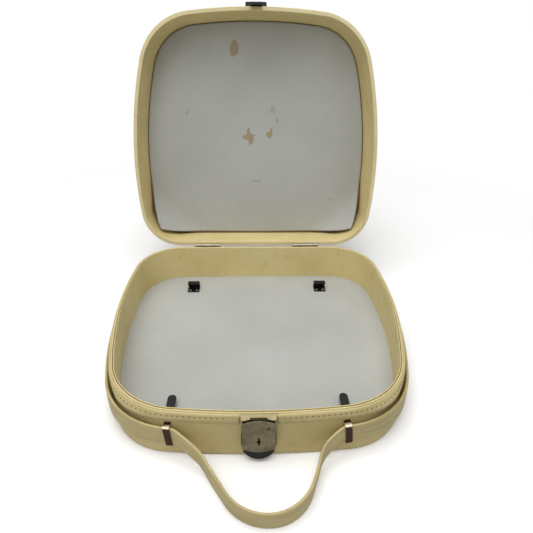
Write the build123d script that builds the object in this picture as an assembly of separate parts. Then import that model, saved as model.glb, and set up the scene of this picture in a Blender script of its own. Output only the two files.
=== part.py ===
from build123d import *
import math
import os

os.makedirs("parts", exist_ok=True)

# Millimetres. X runs to the right, Y to the back, Z up. The origin is the centre of the
# flat underside of the base, and the front is the side with the lock and the handle.

# Plan outline of the base's rim
case_width = 371.4
case_depth = 339.0
widest_line_y = 42.0
rear_corner_radius = 66.0
side_bow_radius = 560.0
front_corner_radius = 90.0
front_bow_radius = 768.0

# The lid is a little narrower than the base's padded rim, with squarer rear corners
lid_side_step = 2.7
lid_widest_line_y = 49.0
lid_side_bow_radius = 590.0
lid_front_corner_radius = 83.0
lid_rear_corner_radius = 57.0

# The base's foot is wider than its rim, at the sides and in front
foot_side_flare = 1.3
foot_front_flare = 3.0
foot_front_corner_radius = 76.0
foot_front_bow_radius = 1050.0
foot_height = 6.0
flare_top_drop = 16.0

# Heights and the open lid
base_height = 61.0
lid_height = 57.0
lid_open_angle = 101.5
rim_gap = 0.3

# Sheet goods
cover_thickness = 0.8
wall_thickness = 3.6
lining_thickness = 0.8
board_thickness = 3.5
grey_board_thickness = 1.2
outer_edge_radius = 3.2
underside_edge_height = 5.0
lining_bead = 0.35

# Base rim: padded band and piping
base_wall_inset = 1.7
rim_recess = 2.5
band_height = 15.5
band_top_inset = 3.2
band_top_drop = 1.2
# Inset and drop of three points on its rounded outside, from the top down
band_shoulder_middle = (1.25, 2.1)
band_shoulder = (0.35, 4.2)
band_bulge = (0.1, 8.4)
band_hardware_gap = 1.3
band_mouth_drop = 3.4
mouth_cheek_top_drop = 2.2
mouth_lever_gap = 1.5
mouth_tongue_gap = 0.6
piping_radius = 1.0
lining_top_drop = 0.4

# Lid rim edge
rim_edge_height = 1.6
rim_edge_rounding = 0.5

# Strap: belt along the sides and handle loop in front
strap_width = 23.3
strap_thickness = 3.2
strap_drop = 30.5
belt_side_out = 4.1
belt_front_out = 6.4
belt_widest_y = 24.0
belt_side_bow_radius = 480.0
belt_front_bow_radius = 650.0
belt_top_corner_radius = 92.0
belt_foot_corner_radius = 78.0
belt_end_y = 75.0
belt_front_x = 88.6
belt_end_rounding = 5.0
belt_rivet_setback = 8.0
belt_rivet_pitch = 11.0
belt_rivet_drop = 3.0
belt_washer_radius = 3.6
bend_start_run = 2.6
loop_end_x = 70.0
# Corners of the loop seen from above: across, and forward of the case's front
handle_corners = [(-57.5, 18.0), (-17.9, 77.0), (39.8, 77.0), (64.5, 14.5)]
handle_corner_radii = [5.0, 40.0, 50.0, 44.0, 30.0, 5.0]
# Side view of its lower edge: how far forward it starts to drop and reaches the ground
drop_start = 2.0
drop_end = 27.0
drop_start_radius = 12.0
drop_end_radius = 30.0

# Keepers that the strap passes under
keeper_x = 93.0
keeper_width = 7.0
keeper_inner_height = 25.5
keeper_leg_depth = 16.0
keeper_thickness = 1.0
keeper_clearance = 0.3
keeper_bend_radius = 1.2
keeper_tilt_left = 3.5
keeper_tilt_right = 7.0

# Rivets
rivet_head_radius = 2.2
rivet_head_height = 0.9
rivet_shank_radius = 1.3
rivet_head_rounding = 0.6

# Lock and latch, sizes down from the rim plane and outward from the case's front
lock_half_width = 16.2
lever_plate_inner = 4.6
lever_plate_thickness = 1.4
lever_cheek_thickness = 1.0
lever_cheek_back = 1.2
lever_cheek_bottom_drop = 44.0
lever_cheek_relief_drop = 12.0
lever_top_corner_drop = 6.4
lever_top_peak_drop = 2.0
lip_corner_drop = 49.0
lip_centre_drop = 55.0
lip_face_gap = 0.2
lip_reach = 4.2
face_plate_thickness = 0.7
face_flange_depth = 3.4
face_top_corner_drop = 5.9
face_top_peak_drop = 1.6
face_bottom_corner_drop = 43.6
face_bottom_centre_drop = 49.0
keyhole_top_drop = 25.6
keyhole_height = 12.6
keyhole_slot_width = 1.8
keyhole_diamond_width = 4.6
keyhole_diamond_height = 8.0
keyhole_lever_margin = 0.8
face_rivet_x = 9.6
face_rivet_drop = 12.2
face_rivet_radius = 1.6
back_plate_half_width = 14.6
back_plate_thickness = 1.2
back_plate_top_drop = 9.2
back_plate_bottom_drop = 43.0
lock_recess_drop = 47.0
back_rivet_x = 9.0
back_rivet_top_drop = 22.0
back_rivet_bottom_drop = 38.5
pivot_drop = 6.0
pivot_out = 2.0
pivot_radius = 1.0
pivot_clearance = 0.05
ear_inner_x = 11.5
ear_thickness = 1.3
ear_radius = 2.0
ear_foot_height = 3.0
latch_lip_half_width = 4.0
latch_lip_thickness = 1.5
latch_lip_inner = 0.2
latch_lip_clearance = 0.3
latch_travel_angle = 16.0
spring_inner_x = 8.8
spring_width = 2.2
spring_thickness = 0.35
spring_foot_drop = 16.0
spring_bend_drop = 6.6
spring_tip_drop = 3.0
bolt_half_length = 10.0
bolt_height = 9.0
bolt_thickness = 1.3
bolt_centre_drop = 31.5
bolt_clearance = 0.15
bolt_travel = 3.5
bolt_guide_x = 7.0
bolt_guide_width = 3.0
bolt_guide_thickness = 0.6
bolt_notch_half_width = 3.6
bolt_notch_height = 3.0

# Catch on the lid
catch_half_width = 14.5
catch_flange_thickness = 1.2
catch_flange_low = 2.4
catch_flange_high = 15.0
catch_hood_proud = 5.6
catch_hood_high = 8.0
catch_corner_radius = 2.0
catch_rivet_x = 10.0
catch_rivet_rise = 11.8
tongue_half_width = 8.0
tongue_inner = 1.0
tongue_outer = 2.4
tongue_end_drop = 18.8
tongue_bar_height = 2.3
tongue_window_height = 6.5
tongue_window_half_width = 5.2

# Hinges
hinge_x = 78.0
hinge_length = 40.0
hinge_knuckles = 5
knuckle_gap = 0.3
knuckle_radius = 2.2
hinge_pin_radius = 1.2
hinge_pin_clearance = 0.05
hinge_pin_head = 0.8
hinge_axis_out = 0.4
leaf_thickness = 1.0
leaf_reach = 26.0
leaf_start = 3.6
leaf_rivet_distance = 18.0
leaf_rivet_pitch = 13.0
leaf_corner_radius = 3.0
heel_lean = 5.0
heel_thickness = 1.2
heel_gap = 0.2

# Holding down what the tray carries
hook_x = 100.0
hook_setback = 51.5
hook_width = 18.0
hook_foot = 15.0
hook_thickness = 1.5
hook_rise = 11.0
hook_reach = 8.0
hook_rivet_spacing = 10.0
turn_catch_x = 100.0
turn_catch_setback = 43.5
turn_catch_length = 22.0
turn_catch_width = 10.0
turn_catch_thickness = 2.0
post_radius = 5.0
post_height = 6.0
post_neck_radius = 2.5
post_head_radius = 4.4
post_head_height = 1.2
turn_clearance = 0.05
turn_end_clearance = 0.15


# Shared levels worked out from the sizes above
front_y = -case_depth / 2
rear_y = case_depth / 2
cover_inner = base_wall_inset + cover_thickness
hoop_inner = cover_inner + wall_thickness
lining_inner = hoop_inner + lining_thickness
board_bottom = cover_thickness
board_top = board_bottom + board_thickness
floor_top = board_top + grey_board_thickness
hoop_top = base_height - rim_recess
lid_base = base_height + rim_gap
lid_top = base_height + lid_height
lid_hoop_outer = cover_thickness
lid_hoop_inner = lid_hoop_outer + wall_thickness
lid_lining_inner = lid_hoop_inner + lining_thickness
lid_wall_base = lid_base + rim_edge_height
lid_board_top = lid_top - cover_thickness
lid_board_bottom = lid_board_top - board_thickness
lid_panel_face = lid_board_bottom - grey_board_thickness
strap_z = base_height - strap_drop
strap_bottom = strap_z - strap_width / 2
strap_top = strap_z + strap_width / 2
flare_top = base_height - flare_top_drop
hook_y = rear_y - hook_setback
turn_catch_y = front_y + turn_catch_setback
hinge_axis_y = rear_y + hinge_axis_out
hinge_axis_z = base_height + rim_gap / 2
hinge_axis = Axis((0, hinge_axis_y, hinge_axis_z), (1, 0, 0))
lock_cut_half_width = lock_half_width + face_plate_thickness + band_hardware_gap
lever_plate_outer = lever_plate_inner + lever_plate_thickness
back_plate_front = -base_wall_inset + back_plate_thickness
lip_bend_drop = face_bottom_centre_drop + lip_face_gap
pivot_z = base_height - pivot_drop


backward = Vector(0, 1)


def plan_arcs(
    width, front, widest_y, side_radius, front_radius, bow_radius, rear_radius=rear_corner_radius
):
    """Right half of a plan outline: each arc's centre, radius, and directions to its ends."""
    side = Vector(width / 2 - side_radius, widest_y)
    corner_y = rear_y - rear_radius
    reach = side_radius - rear_radius
    corner_x = side.X + math.sqrt(reach**2 - (corner_y - widest_y) ** 2)
    rear = Vector(corner_x, corner_y)
    bow = Vector(0, front + bow_radius)
    from_side = side_radius - front_radius
    from_bow = bow_radius - front_radius
    line = bow - side
    along = (from_side**2 - from_bow**2 + line.length**2) / (2 * line.length)
    across = math.sqrt(from_side**2 - along**2)
    unit = line / line.length
    corner = side + unit * along + Vector(unit.Y, -unit.X) * across
    to_rear = (rear - side).normalized()
    to_front = (corner - side).normalized()
    to_corner = (corner - bow).normalized()
    return [
        (rear, rear_radius, backward, to_rear),
        (side, side_radius, to_rear, to_front),
        (corner, front_radius, to_front, to_corner),
        (bow, bow_radius, to_corner, -backward),
    ]


rim_plan = plan_arcs(
    case_width, front_y, widest_line_y, side_bow_radius, front_corner_radius, front_bow_radius
)
lid_plan = plan_arcs(
    case_width - 2 * lid_side_step, front_y, lid_widest_line_y, lid_side_bow_radius,
    lid_front_corner_radius, front_bow_radius, lid_rear_corner_radius,
)
foot_plan = plan_arcs(
    case_width + 2 * foot_side_flare, front_y - foot_front_flare, widest_line_y,
    side_bow_radius, foot_front_corner_radius, foot_front_bow_radius,
)
belt_top_plan, belt_foot_plan = [
    plan_arcs(
        case_width + 2 * belt_side_out, front_y - belt_front_out, belt_widest_y,
        belt_side_bow_radius, radius, belt_front_bow_radius,
    )
    for radius in (belt_top_corner_radius, belt_foot_corner_radius)
]


def mirrored(point):
    return Vector(-point.X, point.Y, point.Z)


def corner_arc(centre, radius, toward_start, toward_end):
    """Points at the start, middle and end of one arc of the outline."""
    middle = (toward_start + toward_end).normalized()
    return [centre + d * radius for d in (toward_start, middle, toward_end)]


def outline(inset, z=0.0, plan=rim_plan):
    """Closed plan outline, moved inward by inset."""
    right = [corner_arc(c, r - inset, start, end) for c, r, start, end in plan[:3]]
    bow_centre, bow_radius = plan[3][:2]
    bow = [right[2][2], Vector(0, bow_centre.Y - bow_radius + inset), mirrored(right[2][2])]
    left = [[mirrored(p) for p in reversed(arc)] for arc in reversed(right)]
    edges = [Line(mirrored(right[0][0]), right[0][0]).edge()]
    edges += [ThreePointArc(*arc).edge() for arc in [*right, bow, *left]]
    return Pos(0, 0, z) * Wire(edges)


def slab(inset, low, high, plan=rim_plan):
    return extrude(Face(outline(inset, low, plan)), high - low, dir=(0, 0, 1))


def ring(outer_inset, inner_inset, low, high, plan=rim_plan):
    return slab(outer_inset, low, high, plan) - slab(inner_inset, low, high, plan)


def flared(inset, low, high, low_plan, high_plan):
    """Solid whose outline changes evenly from one plan to another."""
    wires = [outline(inset, low, low_plan), outline(inset, high, high_plan)]
    return Solid.make_loft(wires, True)


def wall_inside(inset, low, high):
    """Everything inside the base wall at that inset: it flares between the rim and the foot."""
    solid = flared(inset, foot_height, flare_top, foot_plan, rim_plan)
    solid += slab(inset, flare_top, high)
    if low < foot_height:
        solid += slab(inset, low, foot_height, foot_plan)
    return solid


def wall_ring(outer_inset, inner_inset, low, high):
    """Ring of the base wall, built level by level: foot, flare and upright rim."""
    solid = flared(outer_inset, foot_height, flare_top, foot_plan, rim_plan)
    solid -= flared(inner_inset, foot_height, flare_top, foot_plan, rim_plan)
    solid += ring(outer_inset, inner_inset, flare_top, high)
    foot = slab(outer_inset, low, foot_height, foot_plan)
    return solid + (foot - slab(inner_inset, low, foot_height, foot_plan))


def block(x, y, z):
    """Box between two limits on each axis."""
    size = [abs(b - a) for a, b in (x, y, z)]
    place = [(a + b) / 2 for a, b in (x, y, z)]
    return Pos(*place) * Box(*size)


def edges_at(shape, z):
    """Edges that lie flat at one height."""
    return [e for e in shape.edges() if all(abs(e.position_at(t).Z - z) < 1e-4 for t in (0, 0.5, 1))]


def rim_plane(point, outward):
    """Plane across the rim: its X is the inset and its Y the height above the rim plane."""
    inward = -outward
    upright = Vector(0, 0, 1)
    return Plane(origin=(point.X, point.Y, base_height), x_dir=inward, z_dir=inward.cross(upright))


def carried_round(section):
    """Carry a section, drawn as inset and height above the rim, round the whole outline."""
    start = rim_plane(Vector(0, rear_y), backward)
    half = extrude(start * section, rim_plan[0][0].X, dir=(1, 0, 0))
    for centre, radius, first, last in rim_plan:
        plane = rim_plane(centre + first * radius, first)
        half += revolve(plane * section, Axis(centre, (0, 0, -1)), first.get_angle(last))
    return half + mirror(half, Plane.YZ)


def front_profile(points, left, right):
    """Polygon in outward distance and height, drawn across the front from left to right."""
    plane = Plane(origin=(right, front_y, 0), x_dir=(0, -1, 0), z_dir=(-1, 0, 0))
    return extrude(plane * make_face(Polyline(*points, close=True)), right - left, dir=(-1, 0, 0))


def side_profile(points, left, right):
    """Polygon in Y and Z, drawn across from left to right."""
    plane = Plane(origin=(left, 0, 0), x_dir=(0, 1, 0), z_dir=(1, 0, 0))
    return extrude(plane * make_face(Polyline(*points, close=True)), right - left, dir=(1, 0, 0))


def cross_rod(radius, left, right, y, z):
    """Round rod along X."""
    plane = Plane(origin=(left, y, z), z_dir=(1, 0, 0))
    return extrude(plane * Circle(radius), right - left)


def rivet(head_radius=None, length=8.0):
    """Rivet with its head's underside at the origin and its head on +Z."""
    head_radius = head_radius or rivet_head_radius
    head = extrude(Circle(head_radius), rivet_head_height)
    head = fillet(edges_at(head, rivet_head_height), rivet_head_rounding)
    return head + extrude(Circle(rivet_shank_radius), -length)


def place_on(plan, index, x, y, sign, out):
    """Plane on one arc of a plan: along it, up and outward."""
    normal = (Vector(x, y) - plan[index][0]).normalized()
    point = Vector(x, y) + normal * out
    if sign < 0:
        point = mirrored(point)
        normal = mirrored(normal)
    return Plane(origin=point, x_dir=Vector(-normal.Y, normal.X), z_dir=normal)


def front_place(x, out=0.0, plan=rim_plan):
    """Plane on the front of a plan outline at x: across, up and outward."""
    centre, radius, _, last = plan[2]
    index = 3 if abs(x) <= (centre + last * radius).X else 2
    centre, radius = plan[index][:2]
    y = centre.Y - math.sqrt(radius**2 - (abs(x) - centre.X) ** 2)
    return place_on(plan, index, abs(x), y, x, out)


def side_place(y, sign, out=0.0, plan=rim_plan):
    """Plane on the side of a plan outline at y: along, up and outward."""
    centre, radius = plan[1][:2]
    x = centre.X + math.sqrt(radius**2 - (y - centre.Y) ** 2)
    return place_on(plan, 1, x, y, sign, out)


def group(solids):
    return Compound(children=[s for s in solids])


nodes = {}


# Base shell: board floor and hoop, covered outside and lined inside
floor_board = slab(cover_inner, board_bottom, board_top, foot_plan)
floor_board = fillet(edges_at(floor_board, board_bottom), outer_edge_radius - cover_thickness)
base_hoop = wall_ring(cover_inner, hoop_inner, board_top, hoop_top)
base_cover = wall_ring(base_wall_inset, cover_inner, underside_edge_height, hoop_top)
lock_recess = block(
    (-lock_cut_half_width, lock_cut_half_width),
    (front_y - 2 * foot_front_flare, front_y + base_wall_inset),
    (base_height - lock_recess_drop, hoop_top),
)
base_cover -= lock_recess
base_hoop -= lock_recess
underside_outside = slab(base_wall_inset, 0, underside_edge_height, foot_plan)
underside_outside = fillet(edges_at(underside_outside, 0), outer_edge_radius)
underside_inside = slab(cover_inner, board_bottom, underside_edge_height, foot_plan)
underside_inside = fillet(
    edges_at(underside_inside, board_bottom), outer_edge_radius - cover_thickness
)
underside_cover = underside_outside - underside_inside
base_lining = wall_ring(hoop_inner, lining_inner, board_top, base_height - lining_top_drop)
base_lining = fillet(edges_at(base_lining, base_height - lining_top_drop), lining_bead)
floor_lining = slab(lining_inner, board_top, floor_top, foot_plan)

# Solids inside the hoop and inside the wall's outer face: pins and legs end there
hollow = wall_inside(hoop_inner, board_top, hoop_top)
wall_solid = wall_inside(base_wall_inset, board_top, hoop_top)

# Rim band and piping, carried round the outline
band_top = (band_top_inset, -band_top_drop)
band_bottom = (base_wall_inset, -band_height)
shoulder_middle, shoulder, bulge = [
    (inset, -drop) for inset, drop in (band_shoulder_middle, band_shoulder, band_bulge)
]
band_lines = [
    Line((band_top_inset, -rim_recess), band_top),
    ThreePointArc(band_top, shoulder_middle, shoulder),
    ThreePointArc(shoulder, bulge, band_bottom),
    Line(band_bottom, (base_wall_inset, -rim_recess)),
    Line((base_wall_inset, -rim_recess), (band_top_inset, -rim_recess)),
]
rim_band = carried_round(make_face(band_lines))
band_cut = (base_height - band_height - 1, base_height + rim_gap)
rim_band -= block(
    (-lock_cut_half_width, lock_cut_half_width),
    (front_y - band_hardware_gap, front_y + hoop_inner),
    (band_cut[0], base_height - band_mouth_drop),
)
# Over the lock its top edge stays, with a cheek on each side of the way in for the lid's tongue
for side in (-1, 1):
    cheek_ends = (tongue_half_width + mouth_tongue_gap, lock_cut_half_width)
    rim_band += block(
        sorted(side * x for x in cheek_ends),
        (front_y - lever_plate_inner + mouth_lever_gap, front_y + base_wall_inset),
        (base_height - band_mouth_drop, base_height - mouth_cheek_top_drop),
    )
for side in (-1, 1):
    hinge_half = hinge_length / 2 + band_hardware_gap
    rim_band -= block(
        (side * hinge_x - hinge_half, side * hinge_x + hinge_half),
        (rear_y - hoop_inner, rear_y + band_hardware_gap),
        band_cut,
    )
piping_inset = band_top_inset + piping_radius
rim_piping = carried_round(Pos(piping_inset, piping_radius - rim_recess) * Circle(piping_radius))

# Strap keepers: flat staples through the wall, seen from inside as nothing
keeper_outer_out = keeper_clearance + keeper_thickness
keeper_half_height = keeper_inner_height / 2 + keeper_thickness


def keeper(x, tilt):
    half = keeper_width / 2
    solid = block(
        (-half, half), (-keeper_half_height, keeper_half_height), (-keeper_leg_depth, keeper_outer_out)
    )
    solid -= block(
        (-half - 1, half + 1),
        (-keeper_inner_height / 2, keeper_inner_height / 2),
        (-keeper_leg_depth - 1, keeper_clearance),
    )
    outer = [e for e in solid.edges().filter_by(Axis.X)
             if abs(e.center().Z - keeper_outer_out) < 1e-5]
    solid = fillet(outer, keeper_bend_radius)
    place = front_place(x, 0, belt_top_plan)
    return place * (Pos(0, strap_z) * (Rot(0, 0, tilt) * solid)) - hollow


keeper_left = keeper(-keeper_x, keeper_tilt_left)
keeper_right = keeper(keeper_x, keeper_tilt_right)
for solid in (keeper_left, keeper_right):
    base_cover -= solid
    base_hoop -= solid

# Belts along the sides, each ending in two rivets on spacer washers
far = case_width
belt_ring = flared(0, strap_bottom, strap_top, belt_foot_plan, belt_top_plan)
belt_ring -= flared(strap_thickness, strap_bottom, strap_top, belt_foot_plan, belt_top_plan)
belts = {}
belt_rivets = []
belt_washers = []
for side, name in ((-1, "belt_left"), (1, "belt_right")):
    room = block((side * belt_front_x, side * far), (-far, belt_end_y), (strap_bottom, strap_top))
    end_edges = [e for e in room.edges().filter_by(Axis.X) if abs(e.center().Y - belt_end_y) < 1e-4]
    belt = belt_ring & fillet(end_edges, belt_end_rounding)
    for step in range(2):
        y = belt_end_y - belt_rivet_setback - step * belt_rivet_pitch
        place = side_place(y, side, 0, belt_top_plan) * Pos(0, strap_z - belt_rivet_drop)
        pin = place * rivet(length=keeper_leg_depth) - hollow
        washer = place * extrude(Circle(belt_washer_radius), -keeper_leg_depth)
        washer -= wall_solid
        washer -= pin
        washer -= belt
        belt -= pin
        base_cover -= pin
        base_hoop -= pin
        belt_rivets.append(pin)
        belt_washers.append(washer)
    belts[name] = belt

# Handle loop and the two flexible stretches, cut from one ribbon on edge
belt_end_point = front_place(belt_front_x, -strap_thickness / 2, belt_top_plan)
run_direction = Vector(-belt_end_point.x_dir.X, -belt_end_point.x_dir.Y)
start_right = belt_end_point.origin - run_direction * strap_thickness
bend_right = belt_end_point.origin + run_direction * bend_start_run
route = [mirrored(start_right), mirrored(bend_right)]
route += [Vector(x, front_y - forward) for x, forward in handle_corners]
route += [bend_right, start_right]
centre_line = FilletPolyline(*route, radius=handle_corner_radii)

lower_edge = [
    (front_y + far / 10, strap_bottom),
    (front_y - drop_start, strap_bottom),
    (front_y - drop_end, 0),
    (front_y - far, 0),
]
upper_edge = [(y, z + strap_width) for y, z in lower_edge]
drop_radii = [drop_start_radius, drop_end_radius]
lower_line = FilletPolyline(*lower_edge, radius=drop_radii)
upper_line = FilletPolyline(*upper_edge, radius=drop_radii)
closing = [Line(lower_edge[0], upper_edge[0]), Line(lower_edge[-1], upper_edge[-1])]
drop_face = make_face([*lower_line.edges(), *upper_line.edges(), *closing])
drop_plane = Plane(origin=(-far / 2, 0, 0), x_dir=(0, 1, 0), z_dir=(1, 0, 0))
drop_solid = extrude(drop_plane * drop_face, far, dir=(1, 0, 0))
ribbon = extrude(trace(centre_line, strap_thickness), base_height, dir=(0, 0, 1)) & drop_solid
handle_strap = ribbon & block((-loop_end_x, loop_end_x), (-2 * far, 0), (-far, far))
bend_left = ribbon & block((-belt_front_x, -loop_end_x), (-2 * far, 0), (-far, far))
bend_right_solid = ribbon & block((loop_end_x, belt_front_x), (-2 * far, 0), (-far, far))

# Lock back plate with two ears, riveted to the front wall
back_plate = block(
    (-back_plate_half_width, back_plate_half_width),
    (front_y + base_wall_inset, front_y - back_plate_front),
    (base_height - back_plate_bottom_drop, base_height - back_plate_top_drop),
)
pivot_y = front_y - pivot_out
pivot_pins = []
for side in (-1, 1):
    inner = side * ear_inner_x
    outer = side * (ear_inner_x + ear_thickness)
    low, high = min(inner, outer), max(inner, outer)
    ear = block(
        (low, high),
        (front_y - back_plate_front, pivot_y),
        (base_height - back_plate_top_drop - ear_foot_height, pivot_z + ear_radius),
    )
    back_plate += ear + cross_rod(ear_radius, low, high, pivot_y, pivot_z)
    pin_ends = sorted((inner, side * lock_half_width))
    pivot_pins.append(cross_rod(pivot_radius, *pin_ends, pivot_y, pivot_z))
for pin in pivot_pins:
    back_plate -= pin
lock_rivets = []
for x in (-back_rivet_x, back_rivet_x):
    for drop in (back_rivet_top_drop, back_rivet_bottom_drop):
        place = Plane(origin=(x, front_y - back_plate_front, base_height - drop), z_dir=(0, -1, 0))
        pin = place * rivet(length=hoop_inner + back_plate_front) - hollow
        back_plate -= pin
        base_cover -= pin
        base_hoop -= pin
        lock_rivets.append(pin)

# Latch springs: two leaves from the back plate to the lever above its pivot
spring_back = back_plate_front
spring_tip_out = lever_plate_inner - latch_lip_clearance
spring_lines = [
    (spring_back, base_height - spring_foot_drop),
    (spring_back + spring_thickness, base_height - spring_foot_drop),
    (spring_back + spring_thickness, base_height - spring_bend_drop - spring_thickness),
    (spring_tip_out, base_height - spring_tip_drop - spring_thickness),
    (spring_tip_out, base_height - spring_tip_drop),
    (spring_back, base_height - spring_bend_drop),
]
latch_springs = []
for side in (-1, 1):
    ends = sorted((side * spring_inner_x, side * (spring_inner_x + spring_width)))
    latch_springs.append(front_profile(spring_lines, *ends))


def arched_plate(half_width, top_corner, top_peak, low_corner, low_centre, inner, outer):
    """Plate parallel to the front, with an arched top and an arched bottom edge."""
    plane = Plane(origin=(0, front_y - inner, base_height), x_dir=(1, 0, 0), z_dir=(0, -1, 0))
    lines = [
        ThreePointArc((-half_width, -top_corner), (0, -top_peak), (half_width, -top_corner)),
        Line((half_width, -top_corner), (half_width, -low_corner)),
        ThreePointArc((half_width, -low_corner), (0, -low_centre), (-half_width, -low_corner)),
        Line((-half_width, -low_corner), (-half_width, -top_corner)),
    ]
    return extrude(plane * make_face(lines), outer - inner, dir=(0, -1, 0))


def keyhole(margin, inner, outer):
    """Narrow slot with a diamond in its middle, cut through from inner to outer."""
    plane = Plane(origin=(0, front_y - inner, base_height), x_dir=(1, 0, 0), z_dir=(0, -1, 0))
    middle = -keyhole_top_drop - keyhole_height / 2
    slot = Pos(0, middle) * Rectangle(keyhole_slot_width + 2 * margin, keyhole_height + 2 * margin)
    wide = keyhole_diamond_width / 2 + margin
    tall = keyhole_diamond_height / 2 + margin
    points = [(-wide, middle), (0, middle + tall), (wide, middle), (0, middle - tall)]
    diamond = make_face(Polyline(*points, close=True))
    depth = outer - inner
    return extrude(plane * slot, depth, dir=(0, -1, 0)) + extrude(plane * diamond, depth, dir=(0, -1, 0))


# Latch lever: front plate with a flared lip, two cheeks and the inner latching lip
lever_profile = [
    (lever_plate_inner, base_height),
    (lever_plate_outer, base_height),
    (lever_plate_outer, base_height - lip_bend_drop),
    (lever_plate_outer + lip_reach, base_height - lip_centre_drop),
    (lever_plate_outer + lip_reach - lever_plate_thickness, base_height - lip_centre_drop - 1),
    (lever_plate_inner, base_height - lip_bend_drop),
]
lever = front_profile(lever_profile, -lock_half_width, lock_half_width)
lever &= arched_plate(
    lock_half_width, lever_top_corner_drop, lever_top_peak_drop, lip_corner_drop,
    lip_centre_drop, lever_plate_inner - lip_reach, lever_plate_outer + 2 * lip_reach,
)
cheek_lines = [
    (-lever_cheek_back, base_height - lever_cheek_bottom_drop),
    (-lever_cheek_back, base_height - lever_cheek_relief_drop),
    (0, base_height - lever_top_corner_drop + 1),
    (lever_plate_inner, base_height - lever_top_corner_drop),
    (lever_plate_inner, base_height - lever_cheek_bottom_drop),
]
pivot_hole = cross_rod(
    pivot_radius + pivot_clearance, -case_width / 2, case_width / 2, pivot_y, pivot_z
)
for side in (-1, 1):
    ends = sorted((side * (lock_half_width - lever_cheek_thickness), side * lock_half_width))
    lever += front_profile(cheek_lines, *ends) - pivot_hole
tongue_bar_top = base_height - tongue_end_drop + tongue_bar_height
lip_low = tongue_bar_top + latch_lip_clearance
lever += block(
    (-latch_lip_half_width, latch_lip_half_width),
    (front_y - latch_lip_inner, front_y - lever_plate_inner),
    (lip_low, lip_low + latch_lip_thickness),
)
lever -= keyhole(keyhole_lever_margin, 0, lever_plate_outer)

# Lock bolt behind the keyhole, in two guides of the lever
bolt_outer = lever_plate_inner - bolt_clearance
bolt_inner = bolt_outer - bolt_thickness
bolt_z = base_height - bolt_centre_drop
bolt_half_height = bolt_height / 2
for side in (-1, 1):
    guide_x = side * bolt_guide_x
    guide = block(
        (guide_x - bolt_guide_width / 2, guide_x + bolt_guide_width / 2),
        (front_y - lever_plate_inner, front_y - bolt_inner + bolt_clearance + bolt_guide_thickness),
        (
            bolt_z - bolt_half_height - bolt_clearance - bolt_guide_thickness,
            bolt_z + bolt_half_height + bolt_clearance + bolt_guide_thickness,
        ),
    )
    guide -= block(
        (guide_x - bolt_guide_width, guide_x + bolt_guide_width),
        (front_y - lever_plate_inner, front_y - bolt_inner + bolt_clearance),
        (bolt_z - bolt_half_height - bolt_clearance, bolt_z + bolt_half_height + bolt_clearance),
    )
    lever += guide
lock_bolt = block(
    (-bolt_half_length, bolt_half_length),
    (front_y - bolt_inner, front_y - bolt_outer),
    (bolt_z - bolt_half_height, bolt_z + bolt_half_height),
)
lock_bolt -= block(
    (-bolt_notch_half_width, bolt_notch_half_width),
    (front_y - bolt_inner, front_y - bolt_outer),
    (bolt_z - bolt_half_height, bolt_z - bolt_half_height + bolt_notch_height),
)

# Face plate with folded sides, and its one rivet
face_outer = lever_plate_outer + face_plate_thickness
face_half_width = lock_half_width + face_plate_thickness
face_plate = arched_plate(
    face_half_width, face_top_corner_drop, face_top_peak_drop, face_bottom_corner_drop,
    face_bottom_centre_drop, lever_plate_outer, face_outer,
)
for side in (-1, 1):
    ends = sorted((side * lock_half_width, side * face_half_width))
    face_plate += block(
        ends,
        (front_y - lever_plate_outer + face_flange_depth, front_y - lever_plate_outer),
        (base_height - face_bottom_corner_drop, base_height - face_top_corner_drop),
    )
face_plate -= keyhole(0, lever_plate_outer - 1, face_outer + 1)
face_rivet_place = Plane(
    origin=(face_rivet_x, front_y - face_outer, base_height - face_rivet_drop), z_dir=(0, -1, 0)
)
face_rivet = face_rivet_place * rivet(
    head_radius=face_rivet_radius, length=face_outer - lever_plate_inner
)
face_plate -= face_rivet
lever -= face_rivet

# Hinge leaves, knuckles and pins, drawn with the lid closed
knuckle_pitch = hinge_length / hinge_knuckles
knuckle_cut = knuckle_radius + knuckle_gap
wall_y = rear_y - base_wall_inset
leaf_face_y = wall_y + leaf_thickness
base_leaf_lines = [
    (wall_y, base_height - leaf_start - leaf_reach),
    (leaf_face_y, base_height - leaf_start - leaf_reach),
    (leaf_face_y, hinge_axis_z - 2 * knuckle_radius),
    (hinge_axis_y - knuckle_radius / 5, hinge_axis_z - 0.7 * knuckle_radius),
    (hinge_axis_y - 0.7 * knuckle_radius, hinge_axis_z),
    (wall_y, base_height - leaf_start),
]
lid_leaf_lines = [
    (rear_y, base_height + leaf_start + leaf_reach),
    (rear_y + leaf_thickness, base_height + leaf_start + leaf_reach),
    (rear_y + leaf_thickness, hinge_axis_z),
    (rear_y, hinge_axis_z),
]


def round_leaf(leaf, z):
    corners = [e for e in leaf.edges().filter_by(Axis.Y) if abs(e.center().Z - z) < 1e-4]
    return fillet(corners, leaf_corner_radius)


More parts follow.
